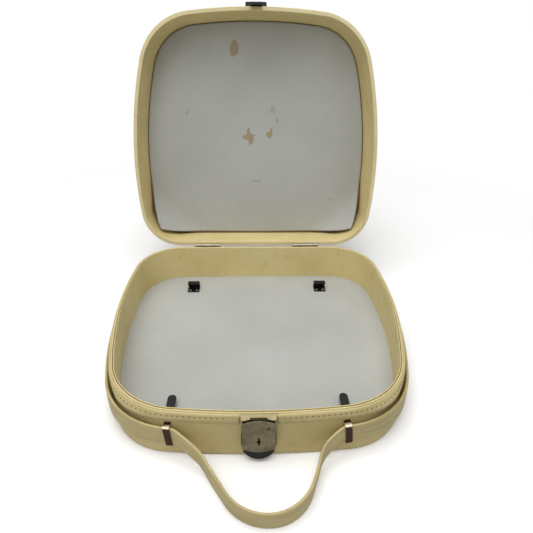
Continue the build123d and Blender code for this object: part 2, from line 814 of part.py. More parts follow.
def hinge(centre_x):
    """Base leaf, lid leaf, pin and rivets of one hinge."""
    left = centre_x - hinge_length / 2
    right = centre_x + hinge_length / 2
    base_leaf = side_profile(base_leaf_lines, left, right)
    base_leaf = round_leaf(base_leaf, base_height - leaf_start - leaf_reach)
    lid_leaf = side_profile(lid_leaf_lines, left, right)
    lid_leaf = round_leaf(lid_leaf, base_height + leaf_start + leaf_reach)
    lean = math.radians(heel_lean)
    reach = hinge_axis_y - leaf_face_y - heel_gap - heel_thickness / 2 * math.cos(lean)
    reach /= math.sin(lean)
    for index in range(hinge_knuckles):
        start = left + index * knuckle_pitch
        end = start + knuckle_pitch
        room = cross_rod(knuckle_cut, start - knuckle_gap / 2, end + knuckle_gap / 2, hinge_axis_y, hinge_axis_z)
        first = start + (knuckle_gap / 2 if index else 0)
        last = end - (knuckle_gap / 2 if index < hinge_knuckles - 1 else 0)
        knuckle = cross_rod(knuckle_radius, first, last, hinge_axis_y, hinge_axis_z)
        if index % 2:
            joggle = block((first, last), (leaf_face_y, hinge_axis_y), (0, hinge_axis_z))
            base_leaf = base_leaf - room - joggle
            heel = block((first, last), (0, reach), (-heel_thickness / 2, heel_thickness / 2))
            heel = Rot(lid_open_angle - 90 - heel_lean, 0, 0) * heel
            lid_leaf = lid_leaf + knuckle + Pos(0, hinge_axis_y, hinge_axis_z) * heel
        else:
            lid_leaf = lid_leaf - room
            base_leaf = base_leaf + knuckle
    base_leaf -= cross_rod(hinge_pin_radius, left - 1, right + 1, hinge_axis_y, hinge_axis_z)
    lid_hole = hinge_pin_radius + hinge_pin_clearance
    lid_leaf -= cross_rod(lid_hole, left - 1, right + 1, hinge_axis_y, hinge_axis_z)
    pin = cross_rod(hinge_pin_radius, left, right, hinge_axis_y, hinge_axis_z)
    for head_start in (left - hinge_pin_head, right):
        pin += cross_rod(
            knuckle_radius - knuckle_gap, head_start, head_start + hinge_pin_head,
            hinge_axis_y, hinge_axis_z,
        )
    return base_leaf, lid_leaf, pin


base_leaves = {}
lid_leaves = {}
hinge_pins = []
base_hinge_rivets = []
lid_hinge_rivets = []
for side, name in ((-1, "left"), (1, "right")):
    base_leaf, lid_leaf, pin = hinge(side * hinge_x)
    hinge_pins.append(pin)
    for step in (-1, 0, 1):
        x = side * hinge_x + step * leaf_rivet_pitch
        low = Plane(origin=(x, leaf_face_y, base_height - leaf_rivet_distance), z_dir=(0, 1, 0))
        shank = low * rivet(length=leaf_thickness + hoop_inner - base_wall_inset)
        base_leaf -= shank
        base_cover -= shank
        base_hoop -= shank
        base_hinge_rivets.append(shank)
        high = Plane(
            origin=(x, rear_y + leaf_thickness, base_height + leaf_rivet_distance), z_dir=(0, 1, 0)
        )
        shank = high * rivet(length=leaf_thickness + lid_hoop_inner)
        lid_leaf -= shank
        lid_hinge_rivets.append(shank)
    base_leaves[name] = base_leaf
    lid_leaves[name] = lid_leaf

# Lid shell, drawn closed
lid_hoop = ring(lid_hoop_outer, lid_hoop_inner, lid_wall_base, lid_board_bottom, lid_plan)
lid_board = slab(lid_hoop_outer, lid_board_bottom, lid_board_top, lid_plan)
lid_board = fillet(edges_at(lid_board, lid_board_top), outer_edge_radius - cover_thickness)
lid_outside = slab(0, lid_wall_base, lid_top, lid_plan)
lid_outside = fillet(edges_at(lid_outside, lid_top), outer_edge_radius)
lid_inside = slab(lid_hoop_outer, lid_wall_base, lid_board_top, lid_plan)
lid_inside = fillet(edges_at(lid_inside, lid_board_top), outer_edge_radius - cover_thickness)
lid_cover = lid_outside - lid_inside
lid_lining = ring(lid_hoop_inner, lid_lining_inner, lid_wall_base, lid_board_bottom, lid_plan)
lid_panel = slab(lid_lining_inner, lid_panel_face, lid_board_bottom, lid_plan)
lid_rim_edge = ring(0, lid_lining_inner, lid_base, lid_wall_base, lid_plan)
lid_rim_edge = fillet(edges_at(lid_rim_edge, lid_base), rim_edge_rounding)

# Catch on the lid's front wall: flange, hood and a tongue with a window
catch = block(
    (-catch_half_width, catch_half_width),
    (front_y, front_y - catch_flange_thickness),
    (base_height + catch_flange_low, base_height + catch_flange_high),
)
hood = block(
    (-catch_half_width, catch_half_width),
    (front_y, front_y - catch_hood_proud),
    (base_height + catch_flange_low, base_height + catch_hood_high),
)
hood_edges = [e for e in hood.edges().filter_by(Axis.Z)
              if abs(e.center().Y - (front_y - catch_hood_proud)) < 1e-4]
catch += fillet(hood_edges, catch_corner_radius)
tongue = block(
    (-tongue_half_width, tongue_half_width),
    (front_y - tongue_inner, front_y - tongue_outer),
    (base_height - tongue_end_drop, base_height + catch_hood_high),
)
tongue -= block(
    (-tongue_window_half_width, tongue_window_half_width),
    (front_y - tongue_inner, front_y - tongue_outer),
    (tongue_bar_top, tongue_bar_top + tongue_window_height),
)
catch += tongue
catch_rivets = []
for x in (-catch_rivet_x, catch_rivet_x):
    place = Plane(
        origin=(x, front_y - catch_flange_thickness, base_height + catch_rivet_rise),
        z_dir=(0, -1, 0),
    )
    catch_rivets.append(place * rivet(length=catch_flange_thickness + lid_hoop_inner))
for pin in [*catch_rivets, *lid_hinge_rivets]:
    catch -= pin
    lid_cover -= pin
    lid_hoop -= pin

# Grooves in the lid's edge for the hinge knuckles
for side in (-1, 1):
    ends = sorted((side * hinge_x - hinge_half, side * hinge_x + hinge_half))
    groove = cross_rod(knuckle_cut, *ends, hinge_axis_y, hinge_axis_z)
    lid_cover -= groove
    lid_hoop -= groove
    lid_rim_edge -= groove

# Rear hold-down hooks and front turn catches on the tray floor
rear_hooks = []
hook_rivets = []
for side in (-1, 1):
    across = (side * hook_x - hook_width / 2, side * hook_x + hook_width / 2)
    back = hook_y + hook_foot
    lines = [
        (hook_y, floor_top),
        (back, floor_top),
        (back, floor_top + hook_rise),
        (back - hook_reach, floor_top + hook_rise),
        (back - hook_reach, floor_top + hook_rise - hook_thickness),
        (back - hook_thickness, floor_top + hook_rise - hook_thickness),
        (back - hook_thickness, floor_top + hook_thickness),
        (hook_y, floor_top + hook_thickness),
    ]
    rear_hook = side_profile(lines, *across)
    for step in (-1, 1):
        x = side * hook_x + step * hook_rivet_spacing / 2
        y = hook_y + (hook_foot - hook_reach) / 2
        pin = Pos(x, y, floor_top + hook_thickness) * rivet(
            length=floor_top + hook_thickness - board_bottom
        )
        rear_hook -= pin
        floor_lining -= pin
        floor_board -= pin
        hook_rivets.append(pin)
    rear_hooks.append(rear_hook)

catch_posts = []
turn_catches = {}
arm_low = floor_top + post_height + turn_end_clearance
arm_high = arm_low + turn_catch_thickness
for side, name in ((-1, "left"), (1, "right")):
    centre = Pos(side * turn_catch_x, turn_catch_y)
    neck_top = arm_high + turn_end_clearance
    post = Pos(0, 0, floor_top) * extrude(Circle(post_radius), post_height)
    post += Pos(0, 0, board_bottom) * extrude(Circle(post_neck_radius), neck_top - board_bottom)
    head = Pos(0, 0, neck_top) * extrude(Circle(post_head_radius), post_head_height)
    post += fillet(edges_at(head, neck_top + post_head_height), post_head_height / 2)
    post = centre * post
    floor_lining -= post
    floor_board -= post
    catch_posts.append(post)
    arm_face = Pos(0, turn_catch_length / 2) * Rectangle(turn_catch_width, turn_catch_length)
    arm_face += Circle(turn_catch_width / 2)
    arm_face += Pos(0, turn_catch_length) * Circle(turn_catch_width / 2)
    arm_face -= Circle(post_neck_radius + turn_clearance)
    turn_catches[name] = centre * (Pos(0, 0, arm_low) * extrude(arm_face, turn_catch_thickness))

# Base nodes
nodes["base_floor_board"] = floor_board
nodes["base_wall_hoop"] = base_hoop
nodes["base_cover"] = base_cover
nodes["base_underside_cover"] = underside_cover
nodes["base_wall_lining"] = base_lining
nodes["base_floor_lining"] = floor_lining
nodes["rim_band"] = rim_band
nodes["rim_piping"] = rim_piping
nodes["belt_left"] = belts["belt_left"]
nodes["belt_right"] = belts["belt_right"]
nodes["belt_rivets"] = group(belt_rivets)
nodes["belt_washers"] = group(belt_washers)
nodes["strap_keeper_left"] = keeper_left
nodes["strap_keeper_right"] = keeper_right
nodes["strap_bend_left"] = bend_left
nodes["strap_bend_right"] = bend_right_solid
nodes["lock_back_plate"] = back_plate
nodes["lock_rivets"] = group(lock_rivets)
nodes["latch_pivot_pins"] = group(pivot_pins)
nodes["latch_springs"] = group(latch_springs)
nodes["hinge_base_leaf_left"] = base_leaves["left"]
nodes["hinge_base_leaf_right"] = base_leaves["right"]
nodes["hinge_pins"] = group(hinge_pins)
nodes["hinge_base_rivets"] = group(base_hinge_rivets)
nodes["rear_hold_hooks"] = group(rear_hooks)
nodes["hold_hook_rivets"] = group(hook_rivets)
nodes["turn_catch_posts"] = group(catch_posts)

# Moving nodes
nodes["latch_lever"] = lever
nodes["lock_face_plate"] = face_plate
nodes["face_plate_rivet"] = face_rivet
nodes["lock_bolt"] = lock_bolt
nodes["handle_strap"] = handle_strap
nodes["turn_catch_left"] = turn_catches["left"]
nodes["turn_catch_right"] = turn_catches["right"]

# Lid nodes, swung open about the hinge line
lid_nodes = {
    "lid_top_board": lid_board,
    "lid_wall_hoop": lid_hoop,
    "lid_cover": lid_cover,
    "lid_wall_lining": lid_lining,
    "lid_grey_panel": lid_panel,
    "lid_rim_edge": lid_rim_edge,
    "lid_catch": catch,
    "lid_catch_rivets": group(catch_rivets),
    "hinge_lid_leaf_left": lid_leaves["left"],
    "hinge_lid_leaf_right": lid_leaves["right"],
    "hinge_lid_rivets": group(lid_hinge_rivets),
}
for name, shape in lid_nodes.items():
    nodes[name] = shape.rotate(hinge_axis, -lid_open_angle)

for name, shape in nodes.items():
    export_step(shape, f"parts/{name}.step")
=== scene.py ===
import math

import bmesh
import bpy
import numpy as np
from mathutils import Matrix, Vector


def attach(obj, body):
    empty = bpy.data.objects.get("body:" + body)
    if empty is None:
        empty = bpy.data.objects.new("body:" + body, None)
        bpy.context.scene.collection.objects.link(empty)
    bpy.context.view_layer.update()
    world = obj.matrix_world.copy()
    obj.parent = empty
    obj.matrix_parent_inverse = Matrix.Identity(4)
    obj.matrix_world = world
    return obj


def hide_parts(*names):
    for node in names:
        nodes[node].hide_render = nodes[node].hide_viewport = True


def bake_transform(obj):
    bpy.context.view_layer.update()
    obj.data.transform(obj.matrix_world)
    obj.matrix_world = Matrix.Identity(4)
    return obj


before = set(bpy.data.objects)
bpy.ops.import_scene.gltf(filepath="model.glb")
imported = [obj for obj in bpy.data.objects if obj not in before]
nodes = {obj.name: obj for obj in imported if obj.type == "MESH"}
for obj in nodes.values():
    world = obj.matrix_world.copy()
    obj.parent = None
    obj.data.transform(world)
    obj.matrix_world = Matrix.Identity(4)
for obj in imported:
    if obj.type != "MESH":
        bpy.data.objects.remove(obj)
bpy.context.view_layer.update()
MM = 0.001

# Sizes in millimetres, the same as in the CAD
CASE_DEPTH = 339.0
FRONT_Y = -CASE_DEPTH / 2
REAR_Y = CASE_DEPTH / 2
# Outlines seen from above: width, front, widest line, then the radii of the side bow,
# the front corner, the front bow and the rear corner
RIM_PLAN = (371.4, FRONT_Y, 42.0, 560.0, 90.0, 768.0, 66.0)
LID_PLAN = (366.0, FRONT_Y, 49.0, 590.0, 83.0, 768.0, 57.0)
BELT_TOP_PLAN = (379.6, FRONT_Y - 6.4, 24.0, 480.0, 92.0, 650.0, 66.0)
BELT_FOOT_PLAN = (379.6, FRONT_Y - 6.4, 24.0, 480.0, 83.0, 650.0, 66.0)
RIM = 61.0
LID_OPEN = math.radians(101.5)
HINGE_Y = CASE_DEPTH / 2 + 0.4
HINGE_Z = RIM + 0.15
PANEL_LEVEL = 112.5
LID_WALL_BASE = 62.9
LID_INNER = 5.2
STRAP_WIDTH = 23.3
STRAP_THICKNESS = 3.2
STRAP_BOTTOM = RIM - 30.5 - STRAP_WIDTH / 2
BELT_END_Y = 75.0
BELT_FRONT_X = 88.6


# The case's outline


def unit(vector):
    return vector / np.linalg.norm(vector)


def held(share):
    """Share kept between nought and one."""
    return min(1.0, max(0.0, share))


def arc_centres(plan):
    """Centres of the side, rear corner, front bow and front corner arcs, right half."""
    width, front_edge, widest, side_radius, corner_radius, bow_radius, rear_radius = plan
    side = np.array([width / 2 - side_radius, widest])
    corner_y = REAR_Y - rear_radius
    reach = side_radius - rear_radius
    corner_x = side[0] + math.sqrt(reach**2 - (corner_y - widest) ** 2)
    bow = np.array([0, front_edge + bow_radius])
    from_side = side_radius - corner_radius
    from_bow = bow_radius - corner_radius
    line = bow - side
    length = np.linalg.norm(line)
    along = (from_side**2 - from_bow**2 + length**2) / (2 * length)
    across = math.sqrt(from_side**2 - along**2)
    ahead = line / length
    front = side + ahead * along + np.array([ahead[1], -ahead[0]]) * across
    return side, np.array([corner_x, corner_y]), bow, front


def outline_stations(step, plan=RIM_PLAN, spaced_like=None):
    """Points round a plan, clockwise from the middle of the back: x, y and outward normal."""
    side, rear, bow, front = arc_centres(plan)
    turns = [np.array([0.0, 1.0]), unit(rear - side), unit(front - side), unit(front - bow),
             np.array([0.0, -1.0])]
    radii = (plan[6], plan[3], plan[4], plan[5])
    counts = []
    for radius, first, last in zip(radii, turns, turns[1:]):
        bend = math.acos(float(np.clip(np.dot(first, last), -1, 1)))
        counts.append(max(2, round(bend * radius / step)))
    if spaced_like:
        counts = spaced_like
    start = max(2, round(rear[0] / step))
    half = [(x, REAR_Y, 0.0, 1.0) for x in np.linspace(0, rear[0], start, endpoint=False)]
    for centre, radius, first, last, count in zip((rear, side, front, bow), radii, turns, turns[1:],
                                                  counts):
        low, high = (math.atan2(d[1], d[0]) for d in (first, last))
        for angle in np.linspace(low, high, count, endpoint=False):
            normal = np.array([math.cos(angle), math.sin(angle)])
            half.append((*(centre + normal * radius), *normal))
    half.append((0.0, plan[1], 0.0, -1.0))
    mirrored = [(-x, y, -nx, ny) for x, y, nx, ny in half[-2:0:-1]]
    return np.array(half + mirrored)


def distances(points, closed=False):
    """Length travelled along points up to each of them."""
    steps = np.linalg.norm(np.diff(points, axis=0), axis=1)
    if closed:
        steps = np.append(steps, np.linalg.norm(points[0] - points[-1]))
    return np.concatenate([[0], np.cumsum(steps)])


def opened(points):
    """Points drawn on the closed lid, swung open with it."""
    points = np.array(points, float)
    y, z = points[..., 1] - HINGE_Y, points[..., 2] - HINGE_Z
    turned = points.copy()
    turned[..., 1] = HINGE_Y + y * math.cos(LID_OPEN) + z * math.sin(LID_OPEN)
    turned[..., 2] = HINGE_Z - y * math.sin(LID_OPEN) + z * math.cos(LID_OPEN)
    return turned


# Meshes


def make_piece(name, points, faces, coordinates=None):
    """Mesh object from points in millimetres; coordinates holds one pair per face corner."""
    mesh = bpy.data.meshes.new(name)
    mesh.from_pydata([tuple(p) for p in np.asarray(points) * MM], [], faces)
    if coordinates is not None:
        layer = mesh.uv_layers.new(name="surface")
        layer.data.foreach_set("uv", np.asarray(coordinates, np.float32).ravel())
    mesh.validate()
    mesh.shade_smooth()
    piece = bpy.data.objects.new(name, mesh)
    bpy.context.scene.collection.objects.link(piece)
    return piece


def skin(name, rows, loop_along=False):
    """Surface through closed rows of points; its surface coordinates are metres along and across."""
    rows = np.asarray(rows, float)
    count, across, _ = rows.shape
    along = distances(rows[:, 0], loop_along) * MM
    wide = distances(rows[0], True) * MM
    faces, coordinates = [], []
    for i in range(count if loop_along else count - 1):
        for j in range(across):
            below, beside = (i + 1) % count, (j + 1) % across
            faces.append((i * across + j, i * across + beside, below * across + beside,
                          below * across + j))
            coordinates += [(along[i], wide[j]), (along[i], wide[j + 1]),
                            (along[i + 1], wide[j + 1]), (along[i + 1], wide[j])]
    if not loop_along:
        for i, order in ((0, range(across)), (count - 1, range(across - 1, -1, -1))):
            faces.append(tuple(i * across + j for j in order))
            coordinates += [(along[i], wide[j]) for j in order]
    piece = make_piece(name, rows.reshape(-1, 3), faces, coordinates)
    recalculate_normals(piece)
    return piece


def recalculate_normals(piece):
    form = bmesh.new()
    form.from_mesh(piece.data)
    bmesh.ops.recalc_face_normals(form, faces=form.faces)
    form.to_mesh(piece.data)
    form.free()


def ripple(values, length, seed):
    """Smooth random waves between -1 and 1 along values, with that wavelength."""
    picker = np.random.default_rng(seed)
    total = np.zeros_like(values, float)
    for octave in range(3):
        phase = picker.uniform(0, 2 * math.pi)
        total += np.sin(values * 2 * math.pi * (1.37**octave) / length + phase) / (octave + 1)
    return total / 1.83


# Colours and materials


def colour(code):
    """Linear colour from an sRGB hex value."""
    parts = [int(code[i:i + 2], 16) / 255 for i in (1, 3, 5)]
    linear = [c / 12.92 if c <= 0.04045 else ((c + 0.055) / 1.055) ** 2.4 for c in parts]
    return (*linear, 1.0)


def add(tree, kind, inputs=None, **settings):
    """Add one shader node, set it, and set or link its inputs."""
    node = tree.nodes.new("ShaderNode" + kind)
    for name, value in settings.items():
        setattr(node, name, value)
    for name, value in (inputs or {}).items():
        if isinstance(value, bpy.types.NodeSocket):
            tree.links.new(value, node.inputs[name])
        else:
            node.inputs[name].default_value = value
    return node


def start_material(name):
    material = bpy.data.materials.new(name)
    material.use_nodes = True
    tree = material.node_tree
    return material, tree, tree.nodes["Principled BSDF"]


# Sockets of the colour version of Blender's Mix node
MIX_A, MIX_B, MIX_RESULT = 6, 7, 2


def spot(tree, place, centre, size, raggedness, pitch):
    """Ragged spot of that size about a point of the object, one inside and zero outside."""
    offset = add(tree, "VectorMath", {0: place, 1: tuple(c * MM for c in centre)},
                 operation="SUBTRACT")
    scaled = add(tree, "VectorMath", {0: offset.outputs[0], 1: tuple(1 / (s * MM) for s in size)},
                 operation="MULTIPLY")
    reach = add(tree, "VectorMath", {0: scaled.outputs[0]}, operation="LENGTH")
    edge = add(tree, "TexNoise", {"Vector": place, "Scale": 1 / (pitch * MM), "Detail": 3.0,
                                  "Roughness": 0.6})
    shaken = add(tree, "Math", {0: edge.outputs["Fac"], 1: 4 * raggedness,
                                2: reach.outputs["Value"]}, operation="MULTIPLY_ADD")
    level = 1 + 2 * raggedness
    return add(tree, "MapRange", {"Value": shaken.outputs[0], "From Min": level,
                                  "From Max": level - 0.12}).outputs["Result"]


def leathercloth(name, fresh, aged, dirt_and_crease_shade, grain=1.3, crease=0.0, space="Object", gloss=0.47):
    """Cotton coated with a nitrocellulose film and pressed with a fine leather grain.

    The film keeps a soft satin sheen, has yellowed unevenly, and holds dirt in its grain. Where it is
    creased, the hollows of the creases get painted shade in the dirt colour.
    """
    material, tree, shader = start_material(name)
    place = add(tree, "TexCoord").outputs[space]
    cloud = add(tree, "TexNoise", {"Vector": place, "Scale": 1 / (70 * MM), "Detail": 4.0,
                                   "Roughness": 0.6})
    patches = add(tree, "MapRange", {"Value": cloud.outputs["Fac"], "From Min": 0.35,
                                     "From Max": 0.72})
    tone = add(tree, "Mix", {0: patches.outputs["Result"], MIX_A: colour(fresh),
                             MIX_B: colour(aged)}, data_type="RGBA").outputs[MIX_RESULT]
    dirt = add(tree, "TexNoise", {"Vector": place, "Scale": 1 / (18 * MM), "Detail": 6.0,
                                  "Roughness": 0.7})
    smudges = add(tree, "MapRange", {"Value": dirt.outputs["Fac"], "From Min": 0.56,
                                     "From Max": 0.82, "To Max": 0.6})
    tone = add(tree, "Mix", {0: smudges.outputs["Result"], MIX_A: tone,
                             MIX_B: colour(dirt_and_crease_shade)}, data_type="RGBA").outputs[MIX_RESULT]
    # The real grain is about 0.4 mm; it is drawn coarser so that it shows at this picture size
    cells = add(tree, "TexVoronoi", {"Vector": place, "Scale": 1 / (grain * MM)},
                feature="DISTANCE_TO_EDGE")
    pores = add(tree, "MapRange", {"Value": cells.outputs["Distance"], "From Max": 0.16})
    tone = add(tree, "Mix", {0: 0.10, MIX_A: tone, MIX_B: pores.outputs["Result"]},
               data_type="RGBA", blend_type="MULTIPLY").outputs[MIX_RESULT]
    height = pores.outputs["Result"]
    if crease:
        stretch = add(tree, "Mapping", {"Vector": place, "Scale": (12.0, 900.0 / crease, 1.0)})
        folds = add(tree, "TexNoise", {"Vector": stretch.outputs["Vector"], "Scale": 1.0,
                                       "Detail": 3.0, "Roughness": 0.55})
        soft = add(tree, "MapRange", {"Value": folds.outputs["Fac"], "From Min": 0.3,
                                      "From Max": 0.7, "To Max": 3.0})
        height = add(tree, "Math", {0: height, 1: soft.outputs["Result"]},
                     operation="ADD").outputs[0]
        # Painted shade: the hollows of the creases are darkened towards the dirt colour
        crease_shade = add(tree, "MapRange", {"Value": folds.outputs["Fac"], "From Min": 0.50,
                                      "From Max": 0.36, "To Max": 0.35})
        tone = add(tree, "Mix", {0: crease_shade.outputs["Result"], MIX_A: tone,
                                 MIX_B: colour(dirt_and_crease_shade)}, data_type="RGBA").outputs[MIX_RESULT]
    relief = add(tree, "Bump", {"Height": height, "Strength": 0.35, "Distance": 0.0002})
    sheen = add(tree, "MapRange", {"Value": dirt.outputs["Fac"], "To Min": gloss - 0.08,
                                   "To Max": gloss + 0.14})
    tree.links.new(tone, shader.inputs["Base Color"])
    tree.links.new(sheen.outputs["Result"], shader.inputs["Roughness"])
    tree.links.new(relief.outputs["Normal"], shader.inputs["Normal"])
    shader.inputs["IOR"].default_value = 1.48
    return material


def grey_board():
    """Grey paper glued on strawboard: dead matt, faintly flecked, torn to brown board in places."""
    material, tree, shader = start_material("grey_paper_board")
    place = add(tree, "TexCoord").outputs["Object"]
    cloud = add(tree, "TexNoise", {"Vector": place, "Scale": 1 / (110 * MM), "Detail": 5.0,
                                   "Roughness": 0.5})
    patches = add(tree, "MapRange", {"Value": cloud.outputs["Fac"], "From Min": 0.3,
                                     "From Max": 0.7})
    tone = add(tree, "Mix", {0: patches.outputs["Result"], MIX_A: colour("#A3A49F"),
                             MIX_B: colour("#AEAFAB")}, data_type="RGBA").outputs[MIX_RESULT]
    fleck = add(tree, "TexNoise", {"Vector": place, "Scale": 1 / (2.2 * MM), "Detail": 2.0})
    tone = add(tree, "Mix", {0: 0.14, MIX_A: tone, MIX_B: fleck.outputs["Color"]},
               data_type="RGBA", blend_type="OVERLAY").outputs[MIX_RESULT]
    height = fleck.outputs["Fac"]
    tears = (((-31.3, 278.2, 339.1), (6.5, 60, 8.5)), ((-31.8, 278.2, 331.1), (8.0, 60, 5.0)),
             ((-12.0, 253.2, 212.1), (10.5, 60, 5.0)), ((-9.0, 253.2, 206.6), (5.5, 60, 7.5)),
             ((-12.5, 253.2, 219.6), (2.8, 60, 7.0)), ((21.5, 253.8, 215.1), (5.2, 60, 4.6)),
             ((23.6, 253.8, 220.1), (2.0, 60, 5.0)))
    for centre, size in tears:
        torn = spot(tree, place, centre, size, 0.5, 4.5)
        tone = add(tree, "Mix", {0: torn, MIX_A: tone,
                                 MIX_B: colour("#9A8A6C")}, data_type="RGBA").outputs[MIX_RESULT]
    for centre, size in (((-108.0, 260.1, 246.9), (2.6, 60, 3.6)),
                         ((1.1, 238.9, 142.9), (7.0, 60, 1.8)),
                         ((123.7, 232.9, 113.4), (6.0, 60, 1.2)),
                         ((33.0, 256.0, 236.6), (3.0, 60, 4.0)),
                         ((25.0, 260.0, 252.6), (5.0, 60, 6.0))):
        stain = spot(tree, place, centre, size, 0.6, 5.0)
        faint = add(tree, "Math", {0: stain, 1: 0.45}, operation="MULTIPLY")
        tone = add(tree, "Mix", {0: faint.outputs[0], MIX_A: tone,
                                 MIX_B: colour("#8E8765")}, data_type="RGBA").outputs[MIX_RESULT]
    relief = add(tree, "Bump", {"Height": height, "Strength": 0.12, "Distance": 0.0002})
    tree.links.new(tone, shader.inputs["Base Color"])
    tree.links.new(relief.outputs["Normal"], shader.inputs["Normal"])
    shader.inputs["Roughness"].default_value = 0.85
    return material


def worn_plating(name, plated, dulled, spotted, roughness=0.38):
    """Nickel on steel, polished long ago: a tarnished film with fine scratches and pits."""
    material, tree, shader = start_material(name)
    place = add(tree, "TexCoord").outputs["Object"]
    film = add(tree, "TexNoise", {"Vector": place, "Scale": 1 / (10 * MM), "Detail": 5.0,
                                  "Roughness": 0.62})
    patches = add(tree, "MapRange", {"Value": film.outputs["Fac"], "From Min": 0.35,
                                     "From Max": 0.66})
    tone = add(tree, "Mix", {0: patches.outputs["Result"], MIX_A: colour(plated),
                             MIX_B: colour(dulled)}, data_type="RGBA").outputs[MIX_RESULT]
    pits = add(tree, "TexVoronoi", {"Vector": place, "Scale": 1 / (3.1 * MM)})
    specks = add(tree, "MapRange", {"Value": pits.outputs["Distance"], "From Min": 0.20,
                                    "From Max": 0.06, "To Max": 0.75})
    tone = add(tree, "Mix", {0: specks.outputs["Result"], MIX_A: tone,
                             MIX_B: colour(spotted)}, data_type="RGBA").outputs[MIX_RESULT]
    rubs = add(tree, "Mapping", {"Vector": place, "Scale": (1.0, 1.0, 0.05)})
    scratches = add(tree, "TexNoise", {"Vector": rubs.outputs["Vector"], "Scale": 1 / (1.1 * MM),
                                       "Detail": 2.0})
    dullness = add(tree, "MapRange", {"Value": scratches.outputs["Fac"], "From Min": 0.3,
                                      "From Max": 0.7, "To Min": roughness - 0.08,
                                      "To Max": roughness + 0.14})
    relief = add(tree, "Bump", {"Height": scratches.outputs["Fac"], "Strength": 0.15,
                                "Distance": 0.0001})
    tree.links.new(tone, shader.inputs["Base Color"])
    tree.links.new(dullness.outputs["Result"], shader.inputs["Roughness"])
    tree.links.new(relief.outputs["Normal"], shader.inputs["Normal"])
    shader.inputs["Metallic"].default_value = 0.85
    return material


def stoved_enamel(name, paint, rubbed):
    """Black stoved enamel on pressed steel: smooth and fairly glossy, rubbed grey in places."""
    material, tree, shader = start_material(name)
    place = add(tree, "TexCoord").outputs["Object"]
    wear = add(tree, "TexNoise", {"Vector": place, "Scale": 1 / (6 * MM), "Detail": 5.0,
                                  "Roughness": 0.65})
    rubs = add(tree, "MapRange", {"Value": wear.outputs["Fac"], "From Min": 0.60,
                                  "From Max": 0.72, "To Max": 0.5})
    tone = add(tree, "Mix", {0: rubs.outputs["Result"], MIX_A: colour(paint),
                             MIX_B: colour(rubbed)}, data_type="RGBA").outputs[MIX_RESULT]
    dullness = add(tree, "MapRange", {"Value": wear.outputs["Fac"], "To Min": 0.22,
                                      "To Max": 0.48})
    tree.links.new(tone, shader.inputs["Base Color"])
    tree.links.new(dullness.outputs["Result"], shader.inputs["Roughness"])
    shader.inputs["IOR"].default_value = 1.5
    shader.inputs["Specular IOR Level"].default_value = 0.3
    return material


# The keepers' outer bend, which the strap rubs: where its painted highlight starts and is full
HIGHLIGHT_HEIGHTS = (42.0, 43.4)
HIGHLIGHT_FORWARD = (-165.5, -168.0)


def coppered_keeper(name, plated, dulled, rubbed_highlight):
    """Copper flash on steel, gone brown; the bend that the strap passes is rubbed, and a painted
    highlight lightens it.
    """
    material, tree, shader = start_material(name)
    place = add(tree, "TexCoord").outputs["Object"]
    film = add(tree, "TexNoise", {"Vector": place, "Scale": 1 / (4 * MM), "Detail": 4.0})
    tone = add(tree, "Mix", {0: film.outputs["Fac"], MIX_A: colour(plated),
                             MIX_B: colour(dulled)}, data_type="RGBA").outputs[MIX_RESULT]
    parts = add(tree, "SeparateXYZ", {"Vector": place})
    high = add(tree, "MapRange", {"Value": parts.outputs["Z"], "From Min": HIGHLIGHT_HEIGHTS[0] * MM,
                                  "From Max": HIGHLIGHT_HEIGHTS[1] * MM})
    ahead = add(tree, "MapRange", {"Value": parts.outputs["Y"], "From Min": HIGHLIGHT_FORWARD[0] * MM,
                                   "From Max": HIGHLIGHT_FORWARD[1] * MM})
    bend = add(tree, "Math", {0: high.outputs["Result"], 1: ahead.outputs["Result"]},
               operation="MULTIPLY")
    # Painted highlight: the top of the outer bend is lightened towards a pale colour
    tone = add(tree, "Mix", {0: bend.outputs["Value"], MIX_A: tone,
                             MIX_B: colour(rubbed_highlight)}, data_type="RGBA").outputs[MIX_RESULT]
    tree.links.new(tone, shader.inputs["Base Color"])
    shader.inputs["Metallic"].default_value = 1.0
    shader.inputs["Roughness"].default_value = 0.42
    return material


def rusted_steel(name, bare, rust, amount):
    """Mild steel left bare: grey where it is rubbed and brown where it has rusted."""
    material, tree, shader = start_material(name)
    place = add(tree, "TexCoord").outputs["Object"]
    bloom = add(tree, "TexNoise", {"Vector": place, "Scale": 1 / (3.5 * MM), "Detail": 6.0,
                                   "Roughness": 0.7})
    rusty = add(tree, "MapRange", {"Value": bloom.outputs["Fac"], "From Min": 0.72 - amount * 0.5,
                                   "From Max": 0.80 - amount * 0.5})
    tone = add(tree, "Mix", {0: rusty.outputs["Result"], MIX_A: colour(bare),
                             MIX_B: colour(rust)}, data_type="RGBA").outputs[MIX_RESULT]
    metal = add(tree, "MapRange", {"Value": rusty.outputs["Result"], "To Min": 0.9, "To Max": 0.0})
    dull = add(tree, "MapRange", {"Value": rusty.outputs["Result"], "To Min": 0.35, "To Max": 0.8})
    relief = add(tree, "Bump", {"Height": bloom.outputs["Fac"], "Strength": 0.25,
                                "Distance": 0.0002})
    tree.links.new(tone, shader.inputs["Base Color"])
    tree.links.new(metal.outputs["Result"], shader.inputs["Metallic"])
    tree.links.new(dull.outputs["Result"], shader.inputs["Roughness"])
    tree.links.new(relief.outputs["Normal"], shader.inputs["Normal"])
    return material


